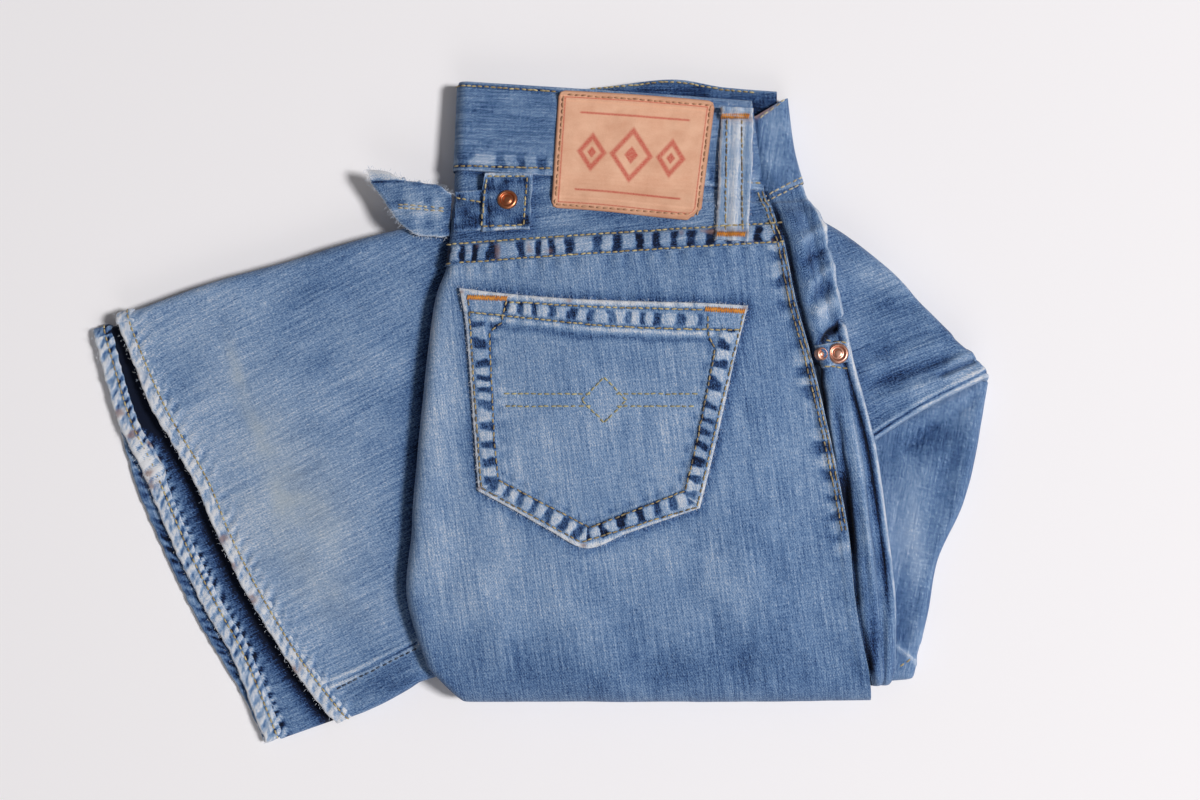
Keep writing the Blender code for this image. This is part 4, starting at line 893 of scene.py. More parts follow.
def makeLowerBands():
    # each a profile along its top edge: up the far face, half round the edge and back underneath
    look, grids = lowerBandLook, []
    radius, far, at = look["thickness"] / 2, look["depth"], np.linspace(0, len(look["x"]) - 1, 160)
    x = smooth(look["x"], at)
    turn = np.concatenate([np.linspace(far, radius, 14), np.zeros(9), np.linspace(radius, far, 8)])
    angle = np.radians(np.concatenate([np.full(14, 90.0), np.linspace(90, -90, 9), np.full(8, -90.0)]))
    out, up = np.where(turn > 0, -turn, radius * np.cos(angle) - radius), radius * np.sin(angle)
    for name, (edge, level) in look["edges"].items():
        y = smooth(edge, at)
        across = np.broadcast_to(x, (len(turn), len(at)))
        down = y + out[:, None]
        waves = 0.15 * lattice(across, down, 9, 80) * (turn > 0)[:, None]
        grid = np.dstack([across, down, level - radius + up[:, None] + waves])
        depth = y - down
        fadeAndShade = look["fadeAndShade"] + 0.1 * lattice(across, down, 9, 81) + 0.3 * bell(depth, 0, 0.9)
        # darker where it runs on under the band in front: painted shade
        fadeAndShade -= 0.2 * ease((depth - 2.2) / 2.5)
        piece, replaces = "waistbandUnder" + name.title().replace("_", ""), ["waistband_under_" + name]
        clothPiece(piece, grid, 0, "denim_dark", replaces, fadeAndShade, flip=True)
        grids.append(grid)
    return grids


def kneeFace(columns, rows):  # the knee's face from fold to seam, lower towards its tip, and both edges
    down, across = cells(rows, columns * 5)
    foldX, foldY, seamX, seamY = (smooth(values, across) for values in np.array(kneeSections).T)
    fold, seam = np.dstack([foldX, foldY]), np.dstack([seamX, seamY])
    length = np.linalg.norm(seam - fold, axis=2)
    first, final = np.minimum(kneeRoll / length, 0.32), 1 - np.minimum(kneeSeamRoll / length, 0.25)
    place = (first + (final - first) * down)[..., None]
    return np.dstack([fold * (1 - place) + seam * place, 22.5 - 1.5 * (across / 5) ** 2]), fold[0], seam[0]


kneeLook = {
    "grain": 22, "fadeAndShade": 0.42, "overThigh": 11.6,
    "folds": (
        (((160, 4), (188, 13), (216, 24)), 2.6, 1.2), (((158, 12), (186, 22), (212, 31)), 2.6, -1.9),
        (((156, 19), (184, 30), (206, 38)), 3.2, 1.1), (((148, 62), (168, 57), (195, 49)), 4.5, -0.7),
        (((146, 76), (168, 69), (188, 58)), 5.0, 0.7), (((152, 50), (162, 30), (170, 5)), 6, 0.5),
        (((176, -1), (190, 6), (204, 12)), 2.4, -0.8), (((205, 40), (214, 34), (220, 27)), 2.2, -0.8),
        (((196, 18), (208, 23), (221, 28)), 1.2, -2.4), (((200, 24), (210, 29), (219, 31)), 1.6, 1.0),
    ),
    # beside the seam: amount, distance, width
    "seamRelief": ((0.55, 5.2, 1.6), (0.35, 1.2, 1.2), (-0.5, 3.2, 0.6)),
    # the pale bells are the seam's worn ridges, the dark one painted shade in the groove between them
    "seamFadeAndShade": ((0.24, 5.2, 1.0), (0.34, 1.9, 0.9), (-0.34, 3.5, 0.6)),
    "patches": ((0.12, 218, 22, 10, 8), (-0.16, 165, 18, 22, 16)),
}


def makeKnee():
    # rolled at the fold, at the tip and at its seam, where it lies over the thigh
    look = kneeLook
    over = look["overThigh"]
    face, fold, seam = kneeFace(np.linspace(0, 0.93, 124), np.linspace(0, 1, 124))
    share = np.linspace(0, 1, len(face))
    tip = np.array(kneeTip[0]) + (np.array(kneeTip[1]) - np.array(kneeTip[0])) * share[:, None]
    tipBase = floorBase + (over - floorBase) * ease(share)
    rolls = [("right", tip, tipBase, 16), ("start", fold, floorBase, 22), ("end", seam, over, 16)]
    grid = rolled(face, rolls)
    x, y = grid[..., 0], grid[..., 1]
    off = nearLine(x, y, [place[2:] for place in kneeSections])[0]
    relief = 0.5 * handleNoise(x, y, 91) + creases(x, y, look["folds"], 90) + bells(off, look["seamRelief"])
    relief *= ease((grid[..., 2] - 4) / 8)
    grid = raised(grid, relief)
    # paler on raised folds and darker in troughs: wear on the crests, painted shade in the troughs and in the
    # seam's groove
    fadeAndShade = look["fadeAndShade"] + 0.06 * lattice(x, y, 30, 93) + 0.11 * relief + bells(off, look["seamFadeAndShade"])
    fadeAndShade += patches(x, y, look["patches"]) + 0.1 * lattice(x * 0.4 + y * 0.9, x * 0.9 - y * 0.4, 12, 95)
    clothPiece("kneePanel", grid, look["grain"], "denim", ["knee_right"], fadeAndShade)
    return grid


thighLook = {
    "grain": 80, "fadeAndShade": 0.47,
    "folds": (
        (((181, -20), (192, -12), (204, -4)), 4.0, -1.3), (((190, -36), (200, -24), (212, -10)), 5.0, 0.9),
        (((207, -2), (216, 5), (222, 12)), 3.5, -0.9), (((185, -10), (190, -50), (186, -95)), 8, 0.8),
        (((205, 5), (206, -25), (200, -55)), 7, -0.8), (((176, -60), (184, -85), (182, -120)), 6, -0.6),
        (((215, 8), (214, -15), (207, -40)), 6, 0.7), (((188, -100), (190, -118)), 4, 0.8),
    ),
    "corner": ((178, -116), (186, -122), (192, -128)),  # the seam that shows at its lower corner
    # the dark patches are painted shade on the thigh just below the knee's seam
    "patches": ((-0.14, 176, -22, 18, 18), (-0.14, 205, -18, 24, 16, 30)),
    "cover": ((-2.5, 4.3, -2.5), (-1.2, 2.1, -0.8)),  # how its top goes on under the knee
}


def makeThigh():
    # from the side of the seat's layers out to its own fold, its top under the knee
    look = thighLook
    row, share = cells(np.linspace(0, 5, 160), np.linspace(0, 1, 80))
    inY, outX, outY = (smooth(values, row) for values in np.array(thighSections).T)
    wall = seat["lipX"] - lipRoll + (lipRoll - 2.1) * 0.5 + 0.9  # the side of the seat's layers
    inX = np.interp(-inY, -seat["lipY"], wall)
    across = share * (1 - thighRoll / np.hypot(outX - inX, outY - inY))
    face = between((inX, inY), (outX, outY), across, np.full(row.shape, 12.0))
    side = ("right", np.column_stack([outX[:, 0], outY[:, 0]]), floorBase, 20)
    grid = rolled(face, [side, ("end", foldLine(thighFold, face), floorBase, 16)])
    x, y = grid[..., 0], grid[..., 1]
    corner = nearLine(x, y, look["corner"])[0]
    relief = 0.5 * handleNoise(x, y, 101) + creases(x, y, look["folds"], 100) + 0.6 * bell(corner, 0, 1.3)
    relief *= ease((grid[..., 2] - 3) / 5)
    grid = raised(grid, relief)
    # paler on raised folds and darker in troughs: wear on the crests, painted shade in the troughs
    fadeAndShade = look["fadeAndShade"] + 0.06 * lattice(x, y, 30, 103) + 0.1 * relief + 0.3 * bell(corner, 0, 1.2)
    fadeAndShade += patches(x, y, look["patches"])
    grid = np.concatenate([*(grid[:1] + np.array(step) for step in look["cover"]), grid])
    fadeAndShade = np.pad(fadeAndShade, ((len(look["cover"]), 0), (0, 0)), mode="edge")
    clothPiece("thighPanel", grid, look["grain"], "denim", ["thigh_right"], fadeAndShade)
    return grid


# the side of the seat's layers, where the legs end
legAtSeat = [(x + 6 - 1.95 - 0.9, y) for x, y in seatLine("left", range(4, 12))]
legTopEnd = (legAtSeat[0][0], 98.4)
legLowEnd = (-60.6, -135.0)
legSeat = (legTopEnd, *legAtSeat, legLowEnd)


def legPlan(u, v):  # the leg's plan: u from hem to seat, v from its upper edge to its lower one
    return coons((*legTop, legTopEnd), (*legLow, legLowEnd), legHem, legSeat, u, v)


def legLength(v):  # from hem to seat, by four chords
    ends = [legPlan(np.full_like(v, u), v) for u in (0.0, 0.25, 0.5, 0.75, 1.0)]
    return sum(np.linalg.norm(b - a, axis=-1) for a, b in zip(ends, ends[1:]))


def legLevel(u, v):  # its height: up towards the seat, down at its lower corner
    return 16.5 + 2.7 * ease(u / 0.95) - 1.6 * ease((v - 0.6) / 0.4) * ease(u / 0.33)


legHeight = math.dist(legLow[0], legTop[0])
legEdgeShare = shinRoll / legHeight


def legGrid(shares, rows, first, steps, base):  # its face from a distance off the hem, both sides rolled
    v, share = cells(rows, shares)
    start = first / legLength(v)
    u = start + (1 - start) * share
    face = np.dstack([legPlan(u, v), legLevel(u, v)])
    edges = []
    for end in (0.0, 1.0):
        line = np.full(len(shares), end)
        begin = first / legLength(line)
        edges.append(legPlan(begin + (1 - begin) * shares, line))
    return rolled(face, [("start", edges[0], base, steps), ("end", edges[1], base, steps)])


legLook = {
    "grain": 27, "rows": 214, "columns": 184, "fadeAndShade": 0.54,
    "folds": (
        (((-175, 45), (-150, 20), (-120, 10)), 9, 0.5), (((-150, 66), (-120, 50), (-80, 55)), 10, -0.5),
        (((-155, -40), (-125, -60), (-95, -70)), 12, 0.6), (((-120, 70), (-90, 40), (-70, 10)), 10, 0.4),
        (((-140, -90), (-110, -95), (-80, -110)), 9, -0.5),
    ),
    "seam": ((-108.5, -136.5), (-90.0, -129.0), (-62.0, -114.5)),
    "seamRelief": ((0.5, 1.6, 1.0), (0.4, -1.6, 1.0), (-0.5, 0, 0.6)),
    # the pale bells are the worn seam's edges, the dark one painted shade in its groove
    "seamFadeAndShade": ((0.3, 1.7, 1.0), (0.26, -1.8, 1.0), (-0.3, 0, 0.6)),
    "patches": ((0.07, -150, -40, 40, 60, 25), (-0.06, -90, 80, 50, 25, 18), (-0.1, -75, -125, 18, 14)),
    "stains": (
        (0.4, -152, 22, 3.5, 16, 15), (0.4, -141, -12, 4.5, 20, 22), (0.26, -130, -42, 7, 14, 20),
        (0.26, -116, -60, 26, 26), (0.24, -134, -26, 26, 40, 25), (0.2, -106, -92, 16, 12),
    ),
    "inner": ((4.0, 1.2, -0.8), (13.0, 4.0, -2.4)),  # how it goes on under the seat
}


def makeLeg():
    # the upper layer of the right leg, puckered beside its hem, with the outseam near its lower edge
    look = legLook
    rows = np.linspace(legEdgeShare, 1 - legEdgeShare, look["rows"])
    grid = legGrid(np.linspace(0, 1, look["columns"]), rows, 7.0, 16, 7.8)
    x, y = grid[..., 0], grid[..., 1]
    hemOff, hemAlong = nearLine(x, y, legHem)
    hemOff = -hemOff if np.median(hemOff) < 0 else hemOff
    blocks = ladder(hemOff, hemAlong, 7.2, 12.0, 6.8, 111, slant=0.5, soft=1.6)
    blocks *= ease((waver(hemAlong, 23, 112) + 0.75) / 0.5)
    puckers = bell(np.maximum(hemOff - 7, 0), 0, 7.0) * ripple(hemAlong, 6.8, 0.5, 15, 113, 0.5 * hemOff)
    seamOff = nearLine(x, y, look["seam"])[0]
    relief = 0.55 * handleNoise(x, y, 114) + creases(x, y, look["folds"], 110) + 0.25 * puckers + 0.3 * blocks
    relief += bells(seamOff, look["seamRelief"])
    relief *= ease((grid[..., 2] - 9) / 4)
    grid = raised(grid, relief)
    # paler on raised folds and darker in troughs: wear on the crests, painted shade in the troughs
    fadeAndShade = look["fadeAndShade"] + 0.07 * lattice(x, y, 50, 115) + 0.05 * relief + 0.07 * puckers
    fadeAndShade += tone(blocks, 0.13, 0.15) + bells(seamOff, look["seamFadeAndShade"]) + patches(x, y, look["patches"])
    fadeAndShade += 0.12 * bell(hemOff, 0, 12.0)
    fadeAndShade -= 0.08 * ease(-seamOff / 4 - 0.5) * ease((seamOff + 30) / 10)
    # painted shadow that the seat casts on the leg beside its side
    fadeAndShade -= 0.42 * bell(nearLine(x, y, legAtSeat)[0], 0, 9.5)
    broken = 0.75 + 0.3 * lattice(x, y, 6, 116) + 0.3 * lattice(x, y, 15, 117)
    stain = np.clip(patches(x, y, look["stains"]) * broken, 0, 0.6)
    grid = np.concatenate([grid, *(grid[:, -1:] + np.array(step) for step in look["inner"])], axis=1)
    added = ((0, 0), (0, len(look["inner"])))
    fadeAndShade, stain = (np.pad(values, added, mode="edge") for values in (fadeAndShade, stain))
    clothPiece("legRight", grid, look["grain"], "denim", ["shin_right"], fadeAndShade, stain=stain)
    return grid


leftTable = np.array(leftHems).T


def leftHemLine(layer, v):  # the left leg's hem, 0 for its upper layer and 1 for its lower one
    at = v * 7
    return np.stack([smooth(leftTable[layer * 2], at), smooth(leftTable[layer * 2 + 1], at)], axis=-1)


# strip and under are the columns of the shown strip and of the rest
leftLegLook = {"grain": 27, "rows": 190, "fadeAndShade": 0.35, "strip": 44, "under": 62}


def makeLeftLeg():
    # its shown strip, and the rest under the right leg, whose rolled edges show from the side
    look = leftLegLook
    rows = np.linspace(legEdgeShare, 1 - legEdgeShare, look["rows"])
    shares = np.concatenate([np.linspace(0, 1, look["strip"]), np.linspace(1, 2, look["under"])[1:]])

    def at(v, share):
        far = 22.0 / legLength(v)
        hem = leftHemLine(0, v)
        reach = legPlan(far, v) - hem
        start = 7.0 / np.linalg.norm(reach, axis=-1)
        first = hem + reach * (start + (1 - start) * np.minimum(share, 1))[..., None]
        return np.where(share[..., None] <= 1, first, legPlan(far + (1 - far) * np.clip(share - 1, 0, 1), v))

    v, share = cells(rows, shares)
    face = np.dstack([at(v, share), 7.0 + 0.9 * ease(share - 1)])
    edges = [at(np.full(len(shares), end), shares) for end in (0.0, 1.0)]
    grid = rolled(face, [("start", edges[0], 0.8, 12), ("end", edges[1], 0.8, 12)])
    x, y = grid[..., 0], grid[..., 1]
    off, along = nearLine(x, y, leftHemLine(0, np.linspace(0, 1, 30)))
    off = -off if np.median(off) < 0 else off
    blocks = ladder(off, along, 7.0, 12.0, 6.0, 121, slant=0.6, soft=1.6)
    relief = (0.4 * handleNoise(x, y, 122) + 0.3 * blocks) * ease((grid[..., 2] - 3) / 3)
    grid = raised(grid, relief)
    low = ease((15.0 - y) / 60.0)  # 0 at the upper end of the opening, 1 towards the lower one
    fadeAndShade = look["fadeAndShade"] + tone(blocks, 0.25, 0.4) + 0.08 * lattice(x, y, 20, 123)
    # darker near the opening's upper end: painted shade under the right leg's hem
    fadeAndShade += 0.3 * blocks * ease((low - 0.4) / 0.2) - 0.6 * ease((0.45 - low) / 0.2)
    fadeAndShade -= 0.8 * bell(nearLine(x, y, legHem)[0], 0, 7.5)  # the shadow under the right leg's hem
    clothPiece("legLeft", grid, look["grain"], "denim", ["shin_left"], fadeAndShade)
    return grid


hemLook = {
    "width": 8.6, "edge": 1.45, "pitch": 6.8, "points": 300, "cornerPoints": 26,
    "right": {
        "name": "hemRight", "replaces": ["hem_right_upper", "hem_right_lower"],
        "seed": 201, "fadeAndShade": 0.77, "low": 0.0, "lumps": (),
        "lines": [lambda v: legPlan(np.zeros_like(v), v)] * 2, "levels": (16.5, 7.6),
        "spots": (
            (-201.8, 17.0), (-159.0, -63.0), (-154.5, -76.5), (-144.5, -93.0), (-123.0, -128.0),
            (-114.0, -125.5),
        ),
    },
    "left": {
        "name": "hemLeft", "replaces": ["hem_left_upper", "hem_left_lower"],
        "seed": 211, "fadeAndShade": 0.74, "low": 1.0,  # low is 1 for the lower leg, whose notches and rope troughs get painted shade
        "lumps": ((1.0, -203.0, -22.0, 5.5, 7.5, 20), (1.0, -196.0, -30.0, 4.5, 5.0, 20)),
        "lines": [lambda v: leftHemLine(0, v), lambda v: leftHemLine(1, v)], "levels": (8.0, 0.9),
        "spots": ((-213.0, 0.4), (-206.8, -10.7), (-196.7, -14.3), (-198.7, -31.0), (-196.0, -36.0)),
    },
}


def hemRing(look):
    # the middle line of a turned hem: the upper layer's edge, a half turn,
    # the lower layer's edge and another half turn; with directions into the leg and out of its face
    count, turn = hemLook["points"], hemLook["cornerPoints"]
    flat = np.linspace(legEdgeShare, 1 - legEdgeShare, count)
    layers = zip(look["lines"], look["levels"])
    upper, lower = (np.column_stack([line(flat), np.full(count, level)]) for line, level in layers)
    angles = np.linspace(0, math.pi, turn + 2)[1:-1]

    def corner(index, before, way):
        middle, step = (upper[index] + lower[index]) / 2, (upper[index] - lower[index]) / 2
        out = np.array([*unit(upper[index, :2] - upper[before, :2]) * shinRoll, 0.0])
        return np.stack([middle + step * math.cos(a) * way + out * math.sin(a) for a in angles])

    ring = np.concatenate([upper, corner(-1, -2, 1), lower[::-1], corner(0, 1, -1)])
    v = np.concatenate([flat, np.full(turn, 1.0), flat[::-1], np.zeros(turn)])
    reach = legPlan(60 / legLength(v), v) - legPlan(np.zeros_like(v), v)
    into = np.column_stack([unit(reach), np.zeros(len(reach))])
    tangent = np.gradient(np.concatenate([ring[-3:], ring, ring[:3]]), axis=0)[3:-3]
    normal = unit(np.cross(tangent, into))
    return ring, into, normal if normal[count // 2, 2] > 0 else -normal


def makeHem(look):
    # a profile carried round the ring: in from the leg, out round the edge and back inside,
    # swollen like a rope by slanting blocks and cut by the notches that the stitches pull
    ring, into, normal = hemRing(look)
    width, edge, pitch = (hemLook[name] for name in ("width", "edge", "pitch"))
    seed, low = look["seed"], look["low"]
    inner = np.linspace(width + 1.5, edge, 14)
    around = np.radians(np.linspace(90, -90, 11)[1:-1])
    depth = np.concatenate([inner, edge - edge * np.cos(around), inner[::-1]])
    height = np.concatenate([np.full(14, edge), edge * np.sin(around), np.full(14, -edge)])
    height[:3], height[-3:] = (-0.4, 0.6, 1.15), (-1.0, -0.5, 0.0)
    across, place = np.meshgrid(depth, lengths(ring))
    rope = ladder(across, place, 1.0, 7.2, pitch, seed, slant=0.7, soft=1.8)
    notches = np.maximum(0, -ladder(across, place, 5.8, 9.6, pitch * 0.75, seed + 9, slant=0.7, soft=1.2))
    shallow = ladder(across, place, 1.8, 4.6, pitch * 0.75, seed + 12, slant=1.2, soft=1.2)
    notches += 0.6 * np.maximum(0, -shallow)
    rise = np.broadcast_to(height, across.shape)
    swell = 0.2 * rope - 0.2 * notches + 0.1 * lattice(place, across, 4, seed + 4)
    rise = rise + np.sign(rise) * swell * (np.abs(rise) > 0.3)
    flat = ring[:, None] + into[:, None] * across[..., None]
    lumps = patches(flat[..., 0], flat[..., 1], look["lumps"])
    inward = across + 0.35 * waver(place, 2.6, seed + 3) * np.exp(-across / 1.5)
    inward += 0.5 * waver(place, 21, seed + 5) + 5.0 * lumps * ease((across - 2) / 5) * (height > 0)
    grid = ring[:, None] + into[:, None] * inward[..., None] + normal[:, None] * (rise[..., None] - edge)
    x, y = grid[..., 0], grid[..., 1]
    lump = patches(x, y, look["lumps"]) + 0 * x
    grid = grid + normal[:, None] * (1.1 * lump * (rise > 0))[..., None]
    half = hemLook["points"] + hemLook["cornerPoints"] // 2  # past it the ring is on the lower layer
    # painted shade on the lower leg's hem where its lower layer lies under the upper one
    under = 0.3 * low * (np.arange(len(ring)) > half)[:, None] * ease((place[half] + 470 - place) / 30)
    notched = notches * ease(0.8 + waver(place, 17, seed + 21))
    # the lower leg's extra darkness in its notches and troughs is painted shade
    fadeAndShade = look["fadeAndShade"] + tone(rope, 0.14, 0.14 + 0.1 * low) - (0.5 + 0.34 * low) * notched
    fadeAndShade += 0.1 * lattice(place, across, 7, seed + 6) + 0.12 * lattice(place, across, 1.9, seed + 14)
    # the edge paler with wear; the face past the turn and the groove at the stitches darker: painted shade
    fadeAndShade += 0.26 * np.exp(-across / 1.0) - 0.2 * (np.arange(len(depth)) > 18) - 0.3 * bell(across, 6.6, 0.7)
    fadeAndShade += 0.3 * lump - under
    rust = 1.3 * sum(blob(x, y, *spot, 3.0, 1.9, 30) for spot in look["spots"])
    rust = np.clip(rust * np.clip(0.8 + lattice(x, y, 1.6, seed + 8), 0, 1.4), 0, 0.8)
    marks = {"fadeAndShade": fadeAndShade, "stain": 0.0, "rust": rust}
    uv = np.dstack([across, place]) / 10
    cloth = cloths["denim_pale"]
    obj = surface(look["name"], grid, uv, cloth, "denim_pale", look["replaces"], closed=True, **marks)
    return ring, into, normal


def heightField(grids, cell=0.5):
    # the highest point of the grids over each square of a raster, empty squares filled from their neighbours
    fine = []
    for grid in grids:
        middles = (grid[1:] + grid[:-1]) / 2
        tall = np.empty((grid.shape[0] * 2 - 1, grid.shape[1], 3))
        tall[::2], tall[1::2] = grid, middles
        wide = np.empty((tall.shape[0], tall.shape[1] * 2 - 1, 3))
        wide[:, ::2], wide[:, 1::2] = tall, (tall[:, 1:] + tall[:, :-1]) / 2
        fine.append(wide.reshape(-1, 3))
    points = np.concatenate(fine)
    low = points[:, :2].min(axis=0) - 3
    size = np.ceil((points[:, :2].max(axis=0) + 3 - low) / cell).astype(int) + 2
    z = np.full(size, -1e9)
    index = np.floor((points[:, :2] - low) / cell).astype(int)
    np.maximum.at(z, (index[:, 0], index[:, 1]), points[:, 2])
    for _ in range(8):
        spread = np.full(z.shape, -1e9)
        for dx, dy in ((1, 0), (-1, 0), (0, 1), (0, -1)):
            spread = np.maximum(spread, np.roll(z, (dx, dy), (0, 1)))
        z = np.where(z < -1e8, spread, z)
    return {"z": np.where(z < -1e8, 0.0, z), "low": low, "cell": cell}


def heightAt(field, x, y):  # blended between the field's four nearest squares
    a = np.clip((np.asarray(x) - field["low"][0]) / field["cell"] - 0.5, 0, field["z"].shape[0] - 2)
    b = np.clip((np.asarray(y) - field["low"][1]) / field["cell"] - 0.5, 0, field["z"].shape[1] - 2)
    i, j = a.astype(int), b.astype(int)
    s, t = a - i, b - j
    z = field["z"]
    return (z[i, j] * (1 - s) + z[i + 1, j] * s) * (1 - t) + (z[i, j + 1] * (1 - s) + z[i + 1, j + 1] * s) * t


def withSkirt(grid, field, out=0.35, sink=0.4):
    # the grid with its four edges turned down to the cloth below: half way at first, then under it
    def ring(values, reach, drop):
        full = np.pad(values, ((1, 1), (1, 1), (0, 0)), mode="edge")
        edge = np.ones(full.shape[:2], bool)
        edge[1:-1, 1:-1] = False
        away = unit(full[..., :2] - values[..., :2].mean(axis=(0, 1)))
        full[..., :2] += away * reach * edge[..., None]
        floor = heightAt(field, full[..., 0], full[..., 1])
        lowered = floor + (full[..., 2] - floor) * drop - (0 if drop else sink)
        full[..., 2] = np.where(edge, lowered, full[..., 2])
        return full

    return ring(ring(grid, out, 0.55), 0.02, 0)


def settled(field, x, y, rounds, down, across, slack):
    # the height under a stiff piece: each point averaged with four others, and at most slack below the cloth
    cloth = base = heightAt(field, x, y)
    moves = ((down, 0), (-down, 0), (across, 1), (-across, 1))
    for _ in range(rounds):
        base = (base + sum(np.roll(base, *move) for move in moves)) / 5
    return np.maximum(base, cloth - slack)


def padded(values):  # as withSkirt adds two rows and columns on every side
    return np.pad(values, 2, mode="edge")


def quad(corners, u, v):  # the four corners blended, in order round the piece from its top left
    a, b, c, d = (np.array(corner) for corner in corners)
    top, low = a + (b - a) * u[..., None], d + (c - d) * u[..., None]
    return top + (low - top) * v[..., None]


pocketLook = {
    "grain": 98, "rows": 168, "columns": 194, "fadeAndShade": 0.62,
    "outer": (  # the four lines of stitches
        (-34.6, 56.6), (-34.0, 50.5), (-31.5, 12.0), (-28.1, -36.0), (20.7, -62.4), (77.4, -45.3),
        (88.5, 2.0), (100.3, 49.5),
    ),
    "inner": (
        (-15.6, 55.5), (-17.2, 49.4), (-18.0, 45.2), (-24.1, 40.1), (-23.7, 29.8), (-21.6, -14.2),
        (-19.7, -32.1), (25.1, -55.4), (71.5, -37.3), (76.4, -17.4), (82.1, 10.3), (86.2, 32.2),
        (82.9, 37.9), (82.6, 48.5),
    ),
    "hemUpper": ((-14.9, 55.0), (10.0, 53.4), (30.0, 52.3), (56.0, 51.6), (80.3, 51.0)),
    "hemLower": ((-34.5, 50.1), (-3.2, 46.8), (28.4, 43.6), (63.2, 41.9), (98.4, 41.2)),
    "patches": ((-0.06, 30, -20, 34, 30), (-0.08, 35, 28, 50, 14)),
    "rust": ((-38, 60), (101, 52), (22, -64), (15, 55.5), (-29, -36)),
}


def makePocket(field):
    # on the cloth below, raised by the allowance along its edges and by its hem, blocks across both
    look = pocketLook
    v, u = cells(np.linspace(0, 1, look["rows"]), np.linspace(0, 1, look["columns"]))
    xy = coons(pocketTop, pocketLow, pocketLeft, pocketRight, u, v)
    x, y = xy[..., 0], xy[..., 1]
    rim, rimAlong = nearLine(x, y, pocketOutline)
    rim = np.abs(rim)
    hem, hemAlong = nearLine(x, y, look["hemLower"])
    inHem, allowance = ease((hem + 0.5) / 1.0), ease((10.8 - rim) / 1.6)
    inside = ease((rim - 10.5) / 2.5) * (1 - inHem)
    blocks = ladder(rim, rimAlong, 2.9, 9.6, 8.4, 131, slant=0.08, soft=0.9) * (1 - inHem)
    hemBlocks = ladder(hem, hemAlong, 1.4, 7.2, 8.8, 132, soft=0.8) * inHem
    hemBlocks *= ease((52 - np.abs(hemAlong - 66)) / 6)
    pull = bell(np.maximum(rim - 10.5, 0), 0, 4.5) * inside * ripple(rimAlong, 8.4, 0.5, 18, 135)
    rise = 1.5 + 0.85 * allowance + 0.9 * inHem - 0.45 * bell(rim, 0, 0.8)
    rise += 0.35 * blocks + 0.35 * hemBlocks + 0.3 * handleNoise(x, y, 133) + 0.3 * pull
    grid = np.dstack([x, y, heightAt(field, x, y) + rise])
    shade = stitchShade(x, y, [look[line] for line in ("outer", "inner", "hemUpper", "hemLower")])
    fadeAndShade = look["fadeAndShade"] + tone(blocks, 0.26) + tone(hemBlocks, 0.26) + 0.05 * lattice(x, y, 40, 136)
    fadeAndShade += 0.12 * pull - 0.32 * shade - 0.1 * ease(2 * waver(rimAlong, 34, 138)) * allowance * (1 - inHem)
    fadeAndShade += (0.42 + 0.2 * lattice(x, y, 2.0, 137)) * bell(rim, 0, 1.9) - 0.14 * bell(rim, 11.8, 2.0) * inside
    underHem = (0.3 + 0.14 * lattice(x, y, 3, 139)) * bell(hem, -1.9, 1.4)  # a pale line and a darker one
    underHem -= 0.24 * bell(hem + lattice(x, y, 6, 140), -5.6, 1.7)
    fadeAndShade += patches(x, y, look["patches"]) + ease((rim - 10) / 3) * underHem
    full = withSkirt(grid, field)
    rust = 0.8 * sum(blob(full[..., 0], full[..., 1], *spot, 1.4, 1.0) for spot in look["rust"])
    replaces = ["pocket_back", "pocket_hem"]
    clothPiece("backPocket", full, look["grain"], "denim", replaces, padded(fadeAndShade), rust)
    return grid


patchLook = {
    "size": (76.0, 63.0), "thickness": 1.7, "bars": (0.17, 0.83),
    # place across, half width, half height
    "lozenges": ((0.5, 9.5, 13.0), (0.24, 6.0, 8.5), (0.76, 6.0, 8.5)),
}


def printMarks(across, down, border):
    # a border line, two bars and a row of lozenges, each where |dx| / a + |dy| / b is near 1 or under 0.4
    wide, tall = patchLook["size"]
    line = np.exp(-(((border - 3.3) / 0.34) ** 4))
    for centre, width, height in patchLook["lozenges"]:
        away = np.abs(across - centre * wide) / width + np.abs(down - 0.5 * tall) / height
        outline = np.exp(-(((away - 1.0) * width / 1.6) ** 4))
        line = np.maximum.reduce([line, outline, ease((0.42 - away) / 0.1)])
    for level in patchLook["bars"]:
        bar = np.exp(-(((down - level * tall) / 0.5) ** 4))
        line = np.maximum(line, bar * ease(wide * 0.36 - np.abs(across - wide / 2)))
    return line


def makePatch(field):
    # a stiff patch laid over the seam, its corners rounded and the last one folded away
    look = patchLook
    v, u = cells(np.linspace(0, 1, 116), np.linspace(0, 1, 140))
    xy = quad(patchCorners, u, v)
    cut = ease((u - 0.9) / 0.1) * ease((v - 0.88) / 0.12)
    xy = xy + np.array([-3.0, 2.4]) * cut[..., None]
    xy[..., 1] += 0.5 * np.sin(u * 5) * ease((v - 0.5) * 2) + 0.5 * np.sin(u * 3.1) * ease(1 - v * 4)
    corners = ((u, v), (1 - u, v), (u, 1 - v))
    rounding = 1.2 * sum(ease(1 - (side + 0.8 * end) * 22) for side, end in corners)
    xy = xy + (xy.mean(axis=(0, 1)) - xy) / 50 * rounding[..., None]
    x, y = xy[..., 0], xy[..., 1]
    across, down = u * look["size"][0], v * look["size"][1]
    border = np.minimum.reduce([across, down, look["size"][0] - across, look["size"][1] - down])
    rise = look["thickness"] + 0.35 * lattice(x, y, 16, 151) + 0.12 * lattice(x, y, 4, 152)
    rise -= 0.4 * bell(border, 0, 0.5) + 0.25 * bell(border, 1.8, 0.7)
    grid = np.dstack([x, y, settled(field, x, y, 6, 4, 4, 0.6) + rise])
    uv = np.dstack([padded(across), padded(down)]) / 10
    marks = {"ink": padded(printMarks(across, down, border)), "worn": np.exp(-padded(border) / 1.2)}
    obj = surface("waistPatch", withSkirt(grid, field, 0.25), uv, leather, "leather", ["patch"], **marks)
    return grid


